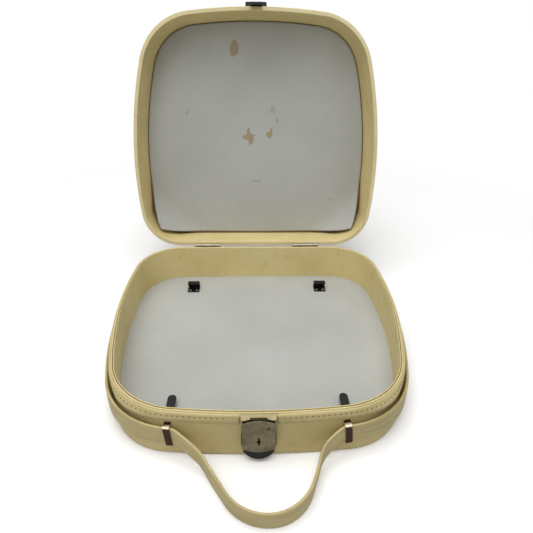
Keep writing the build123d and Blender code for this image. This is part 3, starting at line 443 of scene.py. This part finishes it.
def fibreboard():
    """Pressed wood fibre, bare and matt, with short tangled fibres."""
    material, tree, shader = start_material("pressed_fibreboard")
    place = add(tree, "TexCoord").outputs["Object"]
    fibres = add(tree, "TexNoise", {"Vector": place, "Scale": 1 / (1.8 * MM), "Detail": 4.0,
                                    "Roughness": 0.7, "Distortion": 1.2})
    tone = add(tree, "Mix", {0: fibres.outputs["Fac"], MIX_A: colour("#6B5138"),
                             MIX_B: colour("#8D7150")}, data_type="RGBA").outputs[MIX_RESULT]
    relief = add(tree, "Bump", {"Height": fibres.outputs["Fac"], "Strength": 0.3,
                                "Distance": 0.0003})
    tree.links.new(tone, shader.inputs["Base Color"])
    tree.links.new(relief.outputs["Normal"], shader.inputs["Normal"])
    shader.inputs["Roughness"].default_value = 0.9
    return material


def stitching_thread():
    """Waxed linen thread, matt and brown with the dirt that its holes have gathered."""
    material, tree, shader = start_material("waxed_linen_thread")
    place = add(tree, "TexCoord").outputs["Object"]
    # A real twist is under 1 mm long; it is drawn longer so that it shows
    twist = add(tree, "TexWave", {"Vector": place, "Scale": 1 / (3.5 * MM), "Distortion": 1.0})
    tone = add(tree, "Mix", {0: twist.outputs["Fac"], MIX_A: colour("#4F4326"),
                             MIX_B: colour("#8A7B50")}, data_type="RGBA").outputs[MIX_RESULT]
    tree.links.new(tone, shader.inputs["Base Color"])
    shader.inputs["Roughness"].default_value = 0.75
    return material


def finish_of(piece, material):
    piece.data.materials.clear()
    piece.data.materials.append(material)


COVER = leathercloth("cover_leathercloth", "#C9B782", "#BBAA74", "#968756")
LINING = leathercloth("lining_leathercloth", "#DFCE95", "#D4C286", "#AC985B", grain=1.6)
BAND = leathercloth("band_leathercloth", "#C6B682", "#B7A773", "#8B7C4E", space="UV")
STRAP = leathercloth("strap_leathercloth", "#BFAF7C", "#AD9D69", "#817345", crease=4.0,
                     space="UV", gloss=0.42)
PIPING = leathercloth("piping_leathercloth", "#D3C596", "#C4B582", "#9A8A5A", space="UV")
EDGE = leathercloth("turned_edge_leathercloth", "#D6C99C", "#C8BA89", "#A3935F")
# Band leathercloth in darker colours: painted shade for the band over the lock
PAINTED_SHADE_BAND = leathercloth("painted_shade_band_leathercloth", "#A6976A", "#95865A", "#75673F", space="UV")
BOARD = grey_board()
NICKEL = worn_plating("worn_nickel_plating", "#8C8268", "#6E654F", "#4A3F30")
HINGE_NICKEL = worn_plating("dull_nickel_plating", "#A39C8C", "#857D6B", "#5A5244", 0.34)
ENAMEL = stoved_enamel("black_stoved_enamel", "#0C0C0E", "#3A3A3C")
# The last colour is the painted highlight on the keepers' bend
COPPER = coppered_keeper("coppered_steel", "#4A332A", "#33231C", "#D2C2A6")
STEEL = rusted_steel("bare_mild_steel", "#8A8780", "#6A4428", 0.25)
BLUED = rusted_steel("blued_lock_steel", "#2C2A28", "#3A2A1E", 0.3)
RUST = rusted_steel("rusted_rivet_steel", "#5A4A3A", "#4A3020", 0.9)
FIBRE = fibreboard()
THREAD = stitching_thread()

node_finishes = {
    COVER: ("base_cover", "base_underside_cover", "lid_cover"),
    LINING: ("base_wall_lining",),
    EDGE: ("lid_rim_edge",),
    BOARD: ("base_floor_lining",),
    FIBRE: ("base_floor_board", "base_wall_hoop", "lid_top_board", "lid_wall_hoop"),
    NICKEL: ("lock_face_plate",),
    HINGE_NICKEL: ("hinge_base_leaf_left", "hinge_base_leaf_right", "hinge_lid_leaf_left",
                   "hinge_lid_leaf_right", "hinge_base_rivets", "hinge_lid_rivets",
                   "belt_rivets"),
    ENAMEL: ("latch_lever", "lid_catch", "lid_catch_rivets", "rear_hold_hooks",
             "turn_catch_left", "turn_catch_right"),
    COPPER: ("strap_keeper_left", "strap_keeper_right"),
    BLUED: ("lock_back_plate", "lock_rivets", "latch_pivot_pins", "latch_springs",
            "lock_bolt"),
    STEEL: ("hinge_pins", "hold_hook_rivets", "turn_catch_posts"),
    RUST: ("face_plate_rivet",),
}
for material, names in node_finishes.items():
    for name in names:
        finish_of(nodes[name], material)


# Rim band and piping

BAND_STEP = 0.9
STITCH_PITCH = 5.7
STITCH_DROP = 6.3
LOCK_CUT = 18.2
HINGE_CUT = (56.7, 99.3)
BAND_PROFILE = [(3.1, -2.4), (3.1, -1.7), (2.7, -1.25), (2.0, -1.35), (1.3, -1.95),
                (0.85, -2.75), (0.55, -3.6), (0.45, -4.2), (0.42, -4.6), (0.40, -5.0),
                (0.26, -5.7), (0.12, -7.0), (0.08, -8.5), (0.18, -10.2), (0.42, -11.8),
                (0.80, -13.3), (1.25, -14.6), (1.62, -15.3), (2.2, -15.4), (2.3, -9.0)]


def band_stretches(stations):
    """Runs of stations between the lock and the hinges, where the band is whole."""
    cut = (np.abs(stations[:, 0]) < LOCK_CUT) & (stations[:, 1] < 0)
    behind = stations[:, 1] > REAR_Y - 1
    away = np.abs(stations[:, 0])
    cut |= behind & (away > HINGE_CUT[0]) & (away < HINGE_CUT[1])
    runs, run = [], []
    for i in range(len(stations)):
        if cut[i]:
            if run:
                runs.append(run)
            run = []
        else:
            run.append(i)
    runs[0] = run + runs[0]
    return runs


# The band is worn loose in the front corners: how far out, where along the case, how long
FLARE = 3.0
FLARE_Y = -143
FLARE_SPREAD = 20


def band_flare(x, y):
    """How far the worn band stands off over the belts in the front corners."""
    share = held((abs(x) - 80) / 55)
    return FLARE * share * share * (3 - 2 * share) * math.exp(-(((y - FLARE_Y) / FLARE_SPREAD) ** 2))


def band_rows(stations, run):
    """Rows of the padded band: it thins at its ends and draws in at each stitch."""
    points = stations[run]
    travel = distances(points[:, :2])
    length = travel[-1]
    rows = []
    for index, (x, y, nx, ny) in enumerate(points):
        from_end = min(travel[index], length - travel[index])
        fullness = min(1.0, math.sqrt(max(0.0, 1 - (1 - min(from_end / 2.2, 1)) ** 2)) + 0.25)
        phase = (travel[index] / STITCH_PITCH) % 1.0
        pull = math.exp(-((min(phase, 1 - phase) * STITCH_PITCH / 1.0) ** 2))
        # Its top edge goes on unbroken over the lock
        beside_lock = y < 0 and abs(x) < LOCK_CUT + 3
        flare = band_flare(x, y)
        row = []
        for inset, height in BAND_PROFILE:
            seam = math.exp(-(((height + STITCH_DROP) / 0.75) ** 2))
            sink = seam * (0.15 + 0.75 * pull)
            wave = 0.10 * math.sin(travel[index] / 31 + height) + 0.05 * math.sin(travel[index] / 9)
            full = 1.0 if beside_lock and height > -5.5 else fullness
            depth = 2.3 - (2.3 - inset) * full + sink + (wave + 0.1) * 0.6
            depth -= flare * held((-height - 3.6) / 6.0)
            row.append((x - nx * depth, y - ny * depth, RIM + height))
        rows.append(row)
    return np.array(rows), travel


stations = outline_stations(BAND_STEP)
stitch_places = []
for number, run in enumerate(band_stretches(stations)):
    rows, travel = band_rows(stations, run)
    piece = skin(f"rim_band_padding_{number + 1}", rows)
    finish_of(piece, BAND)
    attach(piece, "base")
    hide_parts("rim_band")
    points = stations[run]
    for count in range(int(travel[-1] / STITCH_PITCH)):
        middle = (count + 1) * STITCH_PITCH
        place = [np.interp(middle, travel, points[:, column]) for column in range(4)]
        stitch_places.append(place)


# A real thread is about 0.7 mm thick; it is drawn thicker so that it shows at this picture size
STITCH_LENGTH = 2.6
THREAD_RADIUS = 0.8


def stitch_points(place):
    """One stitch: a short thread that dips into the cloth at both ends."""
    x, y, nx, ny = place
    outward = np.array([nx, ny, 0.0])
    outward /= np.linalg.norm(outward)
    along = np.array([-outward[1], outward[0], 0.0])
    upright = np.array([0.0, 0.0, 1.0])
    centre = np.array([x, y, RIM - STITCH_DROP]) - outward * (0.9 - 0.45 * band_flare(x, y))
    rows = []
    for share in np.linspace(-1, 1, 7):
        size = THREAD_RADIUS * math.sqrt(max(0.02, 1 - share**4))
        spine = centre + along * share * STITCH_LENGTH / 2 - outward * 0.55 * share**4
        for angle in np.linspace(0, 2 * math.pi, 8, endpoint=False):
            rows.append(spine + outward * size * math.cos(angle) + upright * size * math.sin(angle))
    return rows


def stitches(places):
    points, faces = [], []
    for place in places:
        first = len(points)
        points += stitch_points(place)
        for i in range(6):
            for j in range(8):
                a, b = first + i * 8 + j, first + i * 8 + (j + 1) % 8
                faces.append((a, b, b + 8, a + 8))
        faces.append(tuple(first + j for j in range(7, -1, -1)))
        faces.append(tuple(first + 48 + j for j in range(8)))
    piece = make_piece("band_stitching", points, faces)
    recalculate_normals(piece)
    finish_of(piece, THREAD)
    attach(piece, "base")


# The slot for the tongue, and how deep in from the rim's outline the lip above it lies
SLOT_HALF = 8.3
MOUTH_LIP = -0.6


def mouth_rows():
    """The band's top edge over the lock, with a cheek on each side of the way in for the tongue."""
    front_edge, bow_radius = RIM_PLAN[1], RIM_PLAN[5]
    rows = []
    half = LOCK_CUT + 0.6
    for x in np.concatenate([np.linspace(-half, -9.2, 18), np.linspace(-9.0, -SLOT_HALF, 5),
                             np.linspace(-8.0, 8.0, 17), np.linspace(SLOT_HALF, 9.0, 5),
                             np.linspace(9.2, half, 18)]):
        cheek = held((abs(x) - SLOT_HALF) / 0.7)
        reach = 2.3 + 1.1 * held((abs(x) - 11.0) / 2.6)
        cheek *= held((LOCK_CUT + 0.2 - abs(x)) / 0.9)
        lip = MOUTH_LIP - reach * cheek * (1 - 0.03 * abs(math.sin(x)))
        if abs(x) > LOCK_CUT - 0.7:
            lip += (0.45 - MOUTH_LIP) * min(1.0, (abs(x) - LOCK_CUT + 0.7) / 0.9)
        y = front_edge + bow_radius - math.sqrt(bow_radius**2 - x**2)
        section = [(3.1, -2.4), (3.1, -1.7), (2.7, -1.25), (2.1, -1.35), (1.6, -1.6),
                   (0.6 * lip + 0.7, -2.1 - 0.3 * cheek), (lip + 0.5, -2.45 - 0.6 * cheek),
                   (lip + 0.12, -2.7 - 0.6 * cheek), (lip, -2.95 - 0.5 * cheek),
                   (lip + 0.12, -3.2 - 0.4 * cheek), (lip + 0.5, -3.35 - 0.3 * cheek),
                   (1.75, -3.38), (2.3, -2.6)]
        rows.append([(x, y + inset, RIM + height) for inset, height in section])
    return np.array(rows)


# The band over the lock is drawn in the darker band cloth, which is painted shade
mouth = skin("rim_band_over_lock", mouth_rows())
finish_of(mouth, PAINTED_SHADE_BAND)
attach(mouth, "base")
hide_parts("rim_band")

# The thread is gone beside the lock, as it is on the real one
kept = [p for p in stitch_places if not (p[1] < 0 and (-32 < p[0] < 0 or 18 < p[0] < 24))]
stitches(kept)


# The cord inside the piping: how deep in from the rim's outline and below the rim
PIPING_INSET = 4.2
PIPING_DROP = 1.5
PIPING_RADIUS = 1.0


def piping_rows():
    rows = []
    points = stations[:, :2] - stations[:, 2:] * PIPING_INSET
    travel = distances(points)
    for index, (x, y, nx, ny) in enumerate(stations):
        size = (PIPING_RADIUS + 0.05 * math.sin(travel[index] / 6.3)
                + 0.04 * math.sin(travel[index] / 17))
        row = []
        for angle in np.linspace(0, 2 * math.pi, 12, endpoint=False):
            depth = PIPING_INSET - size * math.cos(angle)
            row.append((x - nx * depth, y - ny * depth,
                        RIM - PIPING_DROP + size * math.sin(angle)))
        rows.append(row)
    return np.array(rows)


piping = skin("rim_piping_cord", piping_rows(), loop_along=True)
finish_of(piping, PIPING)
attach(piping, "base")
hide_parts("rim_piping")


# Strap: one length from belt end to belt end, with the handle loop in its middle


def fillet_path(corners, radii, step):
    """Points along straight runs joined by arcs of those radii."""
    corners = [np.array(c, float) for c in corners]
    points = [corners[0]]
    for before, corner, after, radius in zip(corners, corners[1:], corners[2:], radii):
        back, ahead = unit(before - corner), unit(after - corner)
        half = math.acos(float(np.clip(np.dot(back, ahead), -1, 1))) / 2
        centre = corner + unit(back + ahead) * radius / math.sin(half)
        first, last = (corner + d * radius / math.tan(half) for d in (back, ahead))
        sweep = math.pi - 2 * half
        count = max(3, round(sweep * radius / step))
        spoke_first, spoke_last = unit(first - centre), unit(last - centre)
        across = unit(spoke_last - spoke_first * np.dot(spoke_first, spoke_last))
        for share in np.linspace(0, 1, count):
            turn = share * sweep
            spoke = spoke_first * math.cos(turn) + across * math.sin(turn)
            points.append(centre + spoke * radius)
    points.append(corners[-1])
    return np.array(points)


def resample(points, step):
    """Points at an even step; the first two columns are the line that is measured."""
    travel = distances(points[:, :2])
    marks = np.linspace(0, travel[-1], max(2, round(travel[-1] / step)))
    return np.stack([np.interp(marks, travel, points[:, i]) for i in range(points.shape[1])], 1)


def smooth_line(values, width):
    """Average values with their neighbours, keeping both ends."""
    kernel = np.exp(-np.linspace(-2, 2, 2 * width + 1) ** 2)
    kernel /= kernel.sum()
    padded = np.pad(values, ((width, width), (0, 0)), mode="edge")
    return np.stack([np.convolve(padded[:, i], kernel, "valid")
                     for i in range(values.shape[1])], 1)


def belt_line():
    """Middle line of the right belt at its top and foot, from its rear end to the keeper."""
    counts = (14, 140, 70, 40)
    upper = outline_stations(4.0, BELT_TOP_PLAN, counts)
    lower = outline_stations(4.0, BELT_FOOT_PLAN, counts)
    points = []
    for top, foot in zip(upper, lower):
        if BELT_FRONT_X < top[0] and top[1] < BELT_END_Y:
            middles = [s[:2] - s[2:] * STRAP_THICKNESS / 2 for s in (top, foot)]
            points.append(np.concatenate(middles))
    return np.array(points)


# Corners of the handle loop seen from above: across, and forward of the case's front
LOOP_CORNERS = ((-57.5, 18.0), (-17.9, 77.0), (39.8, 77.0), (64.5, 14.5))
LOOP_RADII = (5.0, 40.0, 50.0, 44.0, 30.0, 5.0)
BEND_RUN = 2.6
# The roll of the strap's lower edge: how far in, where along the case, how long
ROLL_IN = 4.6
ROLL_Y = -110
ROLL_SPREAD = 26
# Radius of the strap's rolled edges
EDGE_ROLL = 1.5


def strap_line():
    """Points of the strap's middle line, left belt end to right belt end: top x, y, foot x, y."""
    right = belt_line()[::-1]
    left = right[::-1] * np.array([-1, 1, -1, 1])
    start = right[0, :2]
    run = unit(right[0, :2] - right[1, :2])
    bend = start + run * BEND_RUN
    mirror = np.array([-1, 1])
    corners = [start * mirror, bend * mirror]
    corners += [(x, FRONT_Y - forward) for x, forward in LOOP_CORNERS]
    corners += [bend, start]
    loop = fillet_path(corners, LOOP_RADII, 1.5)[1:-1]
    return np.vstack([left, np.hstack([loop, loop]), right])


def strap_foot(forward):
    """Height of the strap's lower edge at a distance in front of the case."""
    edge = fillet_path([(-60, STRAP_BOTTOM), (2, STRAP_BOTTOM), (27, 0), (120, 0)], (12.0, 30.0), 1.0)
    return np.interp(forward, edge[:, 0], edge[:, 1])


def strap_rows():
    line = smooth_line(resample(strap_line(), 1.6), 3)
    top, foot = line[:, :2], line[:, 2:]
    ahead = np.gradient(top, axis=0)
    ahead /= np.linalg.norm(ahead, axis=1)[:, None]
    # The line runs left to right in front, so its left-hand side faces the case
    outward = np.stack([ahead[:, 1], -ahead[:, 0]], 1)
    travel = distances(top)
    forward = np.where(np.abs(top[:, 0]) > BELT_FRONT_X - 1, -60, FRONT_Y - top[:, 1])
    lower = smooth_line(strap_foot(forward)[:, None], 4)[:, 0]
    in_loop = np.clip((BELT_FRONT_X - 4 - np.abs(top[:, 0])) / 10, 0, 1)
    lean = ripple(travel, 95, 3) * 0.8 * in_loop
    # Behind the front corners its lower edge rolls in towards the wall
    corner = np.exp(-(((foot[:, 1] - ROLL_Y) / ROLL_SPREAD) ** 2)) * (np.abs(foot[:, 0]) > 110)
    rows = []
    for index in range(len(line)):
        row = []
        for out, height in strap_section():
            share = height / STRAP_WIDTH
            out = out + lean[index] * share
            if out < 0:
                out -= ROLL_IN * corner[index] * (1 - share) ** 1.5
            x, y = foot[index] * (1 - share) + top[index] * share + outward[index] * out
            row.append((x, y, max(0.05, lower[index] + height)))
        rows.append(row)
    return np.array(rows)


def strap_section():
    """Section of the strap: flat faces, rolled edges and a pressed line inside each edge."""
    half = STRAP_THICKNESS / 2
    points = []
    for share in np.linspace(-1, 1, 25):
        height = STRAP_WIDTH / 2 + share * (STRAP_WIDTH / 2 - EDGE_ROLL)
        edge = (1 - abs(share)) * (STRAP_WIDTH / 2 - EDGE_ROLL)
        pressed = 0.32 * math.exp(-(((edge - 1.3) / 0.55) ** 2))
        crown = 0.12 * (1 - share * share)
        points.append((half - 0.15 - pressed + crown, height))
    for angle in np.linspace(80, -80, 9):
        points.append((math.sin(math.radians(angle)) * (half - 0.15),
                       STRAP_WIDTH - EDGE_ROLL + math.cos(math.radians(angle)) * EDGE_ROLL))
    front = points[:25]
    points += [(-out, height) for out, height in reversed(front)]
    for angle in np.linspace(-80, 80, 9):
        points.append((math.sin(math.radians(angle)) * (half - 0.15),
                       EDGE_ROLL - math.cos(math.radians(angle)) * EDGE_ROLL))
    return points


strap = skin("carrying_strap", strap_rows())
finish_of(strap, STRAP)
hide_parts("handle_strap", "strap_bend_left", "strap_bend_right", "belt_left", "belt_right")
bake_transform(strap)


# Spacers behind the belt ends
finish_of(nodes["belt_washers"], STRAP)


# Lid lining and grey card

LINING_LEAN = 6.0


def lining_lean(y):
    """How far the wall lining leans in where it meets the card: less along the hinge side."""
    towards_back = np.clip((y - 70) / 60, 0, 1)
    return LINING_LEAN * (1 - towards_back) + 0.6 * towards_back


def lid_lining_rows():
    rows = []
    points = outline_stations(2.0, LID_PLAN)
    travel = distances(points[:, :2])
    levels = np.linspace(0, 1, 14)
    for index, (x, y, nx, ny) in enumerate(points):
        lean = lining_lean(y)
        row = []
        for level in levels:
            bulge = 0.35 * math.sin(travel[index] / 23 + 4 * level) * math.sin(math.pi * level)
            inset = LID_INNER - 0.35 + lean * level**1.4 + bulge
            height = LID_WALL_BASE - 0.2 + level * (PANEL_LEVEL + 1.0 - LID_WALL_BASE)
            row.append((x - nx * inset, y - ny * inset, height))
        for level in levels[::-1]:
            inset = LID_INNER - 0.75 + lean * level**1.4 * 0.9
            height = LID_WALL_BASE - 0.2 + level * (PANEL_LEVEL + 1.0 - LID_WALL_BASE)
            row.append((x - nx * inset, y - ny * inset, height))
        rows.append(row)
    return opened(np.array(rows))


def stained(material, spots, tint):
    """Copy of a leathercloth with a few soft stains at points of the object."""
    copy = material.copy()
    copy.name = material.name + "_stained"
    tree = copy.node_tree
    shader = tree.nodes["Principled BSDF"]
    tone = shader.inputs["Base Color"].links[0].from_socket
    place = add(tree, "TexCoord").outputs["Object"]
    for centre, size in spots:
        mask = spot(tree, place, centre, size, 0.4, 8.0)
        faint = add(tree, "Math", {0: mask, 1: 0.5}, operation="MULTIPLY")
        tone = add(tree, "Mix", {0: faint.outputs[0], MIX_A: tone,
                                 MIX_B: colour(tint)}, data_type="RGBA").outputs[MIX_RESULT]
    tree.links.new(tone, shader.inputs["Base Color"])
    return copy


LID_LINING = stained(LINING, (((-7.8, 205.0, 68.0), (7.0, 30.0, 3.0)),
                              ((-28.0, 200.0, 67.0), (5.0, 30.0, 2.5)),
                              ((173.0, 262.0, 286.0), (4.0, 12.0, 4.0))), "#B58A4A")
lining = skin("lid_wall_lining_cloth", lid_lining_rows(), loop_along=True)
finish_of(lining, LID_LINING)
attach(lining, "lid")
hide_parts("lid_wall_lining")

# The card's two rear corners were cut square and have curled forward against the wall
CARD_CORNER = np.array([166.0, 160.0])
CARD_SIDE_Y = 60.0
CURL_DIRECTION = np.array([0.68, 0.733])
CURL_START = 174.0
CURL_RADIUS = 40.0


def card_outline():
    """Flat outline of the card, clockwise from the middle of its rear edge, right half."""
    points = [(x, CARD_CORNER[1] + 2.0 * (1 - abs(x) / CARD_CORNER[0])) for x in
              np.linspace(0, CARD_CORNER[0], 40)]
    half = outline_stations(3.0, LID_PLAN)
    side = []
    for x, y, nx, ny in half:
        if x >= 0 and y < CARD_SIDE_Y:
            inset = LID_INNER + 0.2 + lining_lean(y)
            side.append((x - nx * inset, y - ny * inset))
    start = np.array(side[0])
    points += [tuple(CARD_CORNER * (1 - share) + start * share)
               for share in np.linspace(0.05, 0.95, 24)]
    return np.array(points + side)


def curl(points, level):
    """Bend the card's rear corners forward; level is its height on the closed lid."""
    points = np.array(points, float)
    result = np.column_stack([points, np.full(len(points), level)])
    for side in (-1, 1):
        direction = CURL_DIRECTION / np.linalg.norm(CURL_DIRECTION) * np.array([side, 1])
        reach = points @ direction
        over = np.clip(reach - CURL_START, 0, None)
        angle = over / CURL_RADIUS
        moved = over - CURL_RADIUS * np.sin(angle)
        result[:, :2] -= direction * moved[:, None]
        result[:, 2] -= CURL_RADIUS * (1 - np.cos(angle))
    return result


def card_piece():
    """Grey card as rings of points from its edge to its middle, both faces."""
    half = card_outline()
    mirrored = [(-x, y) for x, y in half[::-1] if x > 0.01]
    edge = np.vstack([half, mirrored])
    shares = [1.0, 0.985, 0.96, 0.92, 0.87, 0.81, 0.74, 0.66, 0.57, 0.45, 0.3, 0.15]
    thickness = 1.0
    layers = []
    for level, order in ((PANEL_LEVEL, shares[::-1]), (PANEL_LEVEL + thickness, shares)):
        for share in order:
            layers.append(curl(edge * share, level))
    rows = opened(np.array(layers))
    count, across, _ = rows.shape
    points = list(rows.reshape(-1, 3))
    faces = []
    for i in range(count - 1):
        for j in range(across):
            beside = (j + 1) % across
            faces.append((i * across + j, i * across + beside, (i + 1) * across + beside,
                          (i + 1) * across + j))
    faces.append(tuple(range(across - 1, -1, -1)))
    faces.append(tuple((count - 1) * across + j for j in range(across)))
    piece = make_piece("lid_grey_card", points, faces)
    recalculate_normals(piece)
    return piece


card = card_piece()
finish_of(card, BOARD)
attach(card, "lid")
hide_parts("lid_grey_panel")


# Camera, at the photograph's viewing angle

CAMERA_PLACE = (-3.62, -474.06, 428.53)
CAMERA_YAW, CAMERA_PITCH, CAMERA_ROLL = 0.03095, 0.56489, 0.01216
CAMERA_FOCAL_PIXELS = 458.63
PICTURE_PIXELS = 533
SENSOR_WIDTH = 36.0


def set_camera():
    ahead = Vector((math.sin(CAMERA_YAW) * math.cos(CAMERA_PITCH),
                    math.cos(CAMERA_YAW) * math.cos(CAMERA_PITCH), -math.sin(CAMERA_PITCH)))
    right = Vector((math.cos(CAMERA_YAW), -math.sin(CAMERA_YAW), 0))
    up = right.cross(ahead)
    rolled_right = right * math.cos(CAMERA_ROLL) + up * math.sin(CAMERA_ROLL)
    rolled_up = up * math.cos(CAMERA_ROLL) - right * math.sin(CAMERA_ROLL)
    data = bpy.data.cameras.new("photograph_camera")
    data.sensor_width = SENSOR_WIDTH
    data.lens = CAMERA_FOCAL_PIXELS * SENSOR_WIDTH / PICTURE_PIXELS
    data.clip_start = 0.01
    camera = bpy.data.objects.new("photograph_camera", data)
    bpy.context.scene.collection.objects.link(camera)
    turn = Matrix((rolled_right, rolled_up, -ahead)).transposed().to_4x4()
    camera.matrix_world = Matrix.Translation(Vector(CAMERA_PLACE) * MM) @ turn
    bpy.context.scene.camera = camera


# Floor, light and background


def white_floor():
    material, tree, shader = start_material("white_floor_paint")
    place = add(tree, "TexCoord").outputs["Object"]
    reach = add(tree, "VectorMath", {0: place}, operation="LENGTH")
    far = add(tree, "MapRange", {"Value": reach.outputs["Value"], "From Min": 0.42,
                                 "From Max": 0.85})
    rays = add(tree, "LightPath")
    seen = add(tree, "Math", {0: far.outputs["Result"], 1: rays.outputs["Is Camera Ray"]},
               operation="MULTIPLY")
    glow = add(tree, "Emission", {"Color": (1, 1, 1, 1), "Strength": 1.0})
    shader.inputs["Base Color"].default_value = (0.96, 0.96, 0.96, 1)
    shader.inputs["Roughness"].default_value = 0.9
    shader.inputs["Specular IOR Level"].default_value = 0.0
    bounce = add(tree, "BsdfDiffuse", {"Color": (0.62, 0.62, 0.61, 1)})
    near = add(tree, "MixShader", {0: rays.outputs["Is Camera Ray"], 1: bounce.outputs[0],
                                   2: shader.outputs[0]})
    mixed = add(tree, "MixShader", {0: seen.outputs[0], 1: near.outputs[0],
                                    2: glow.outputs[0]})
    tree.links.new(mixed.outputs[0], tree.nodes["Material Output"].inputs["Surface"])
    size = 20000.0
    floor = make_piece("floor", [(-size, -size, 0), (size, -size, 0), (size, size, 0),
                                 (-size, size, 0)], [(0, 1, 2, 3)])
    finish_of(floor, material)


def soft_light(name, place, size, power, aim=(0, 0, 0.12)):
    data = bpy.data.lights.new(name, "AREA")
    data.shape = "RECTANGLE"
    data.size, data.size_y = size
    data.energy = power
    lamp = bpy.data.objects.new(name, data)
    lamp.location = place
    lamp.rotation_euler = (Vector(aim) - Vector(place)).to_track_quat("-Z", "Y").to_euler()
    bpy.context.scene.collection.objects.link(lamp)


def white_surroundings(level):
    """World that lights evenly at that level and shows white to the camera and in gloss."""
    world = bpy.data.worlds.new("studio")
    world.use_nodes = True
    tree = world.node_tree
    rays = add(tree, "LightPath")
    shown = add(tree, "Math", {0: rays.outputs["Is Camera Ray"],
                               1: rays.outputs["Is Glossy Ray"]}, operation="MAXIMUM")
    shown = add(tree, "Math", {0: shown.outputs[0], 1: rays.outputs["Is Transmission Ray"]},
                operation="MAXIMUM")
    strength = add(tree, "MapRange", {"Value": shown.outputs[0], "To Min": level, "To Max": 1.0})
    background = tree.nodes["Background"]
    background.inputs["Color"].default_value = (1, 1, 1, 1)
    tree.links.new(strength.outputs["Result"], background.inputs["Strength"])
    bpy.context.scene.world = world


set_camera()
white_floor()
soft_light("overhead_softbox", (-0.15, -0.15, 1.9), (1.8, 1.6), 34.0)
soft_light("front_softbox", (-0.5, -1.6, 1.5), (1.2, 1.0), 8.0)
white_surroundings(0.36)
bpy.context.scene.view_settings.view_transform = "Standard"
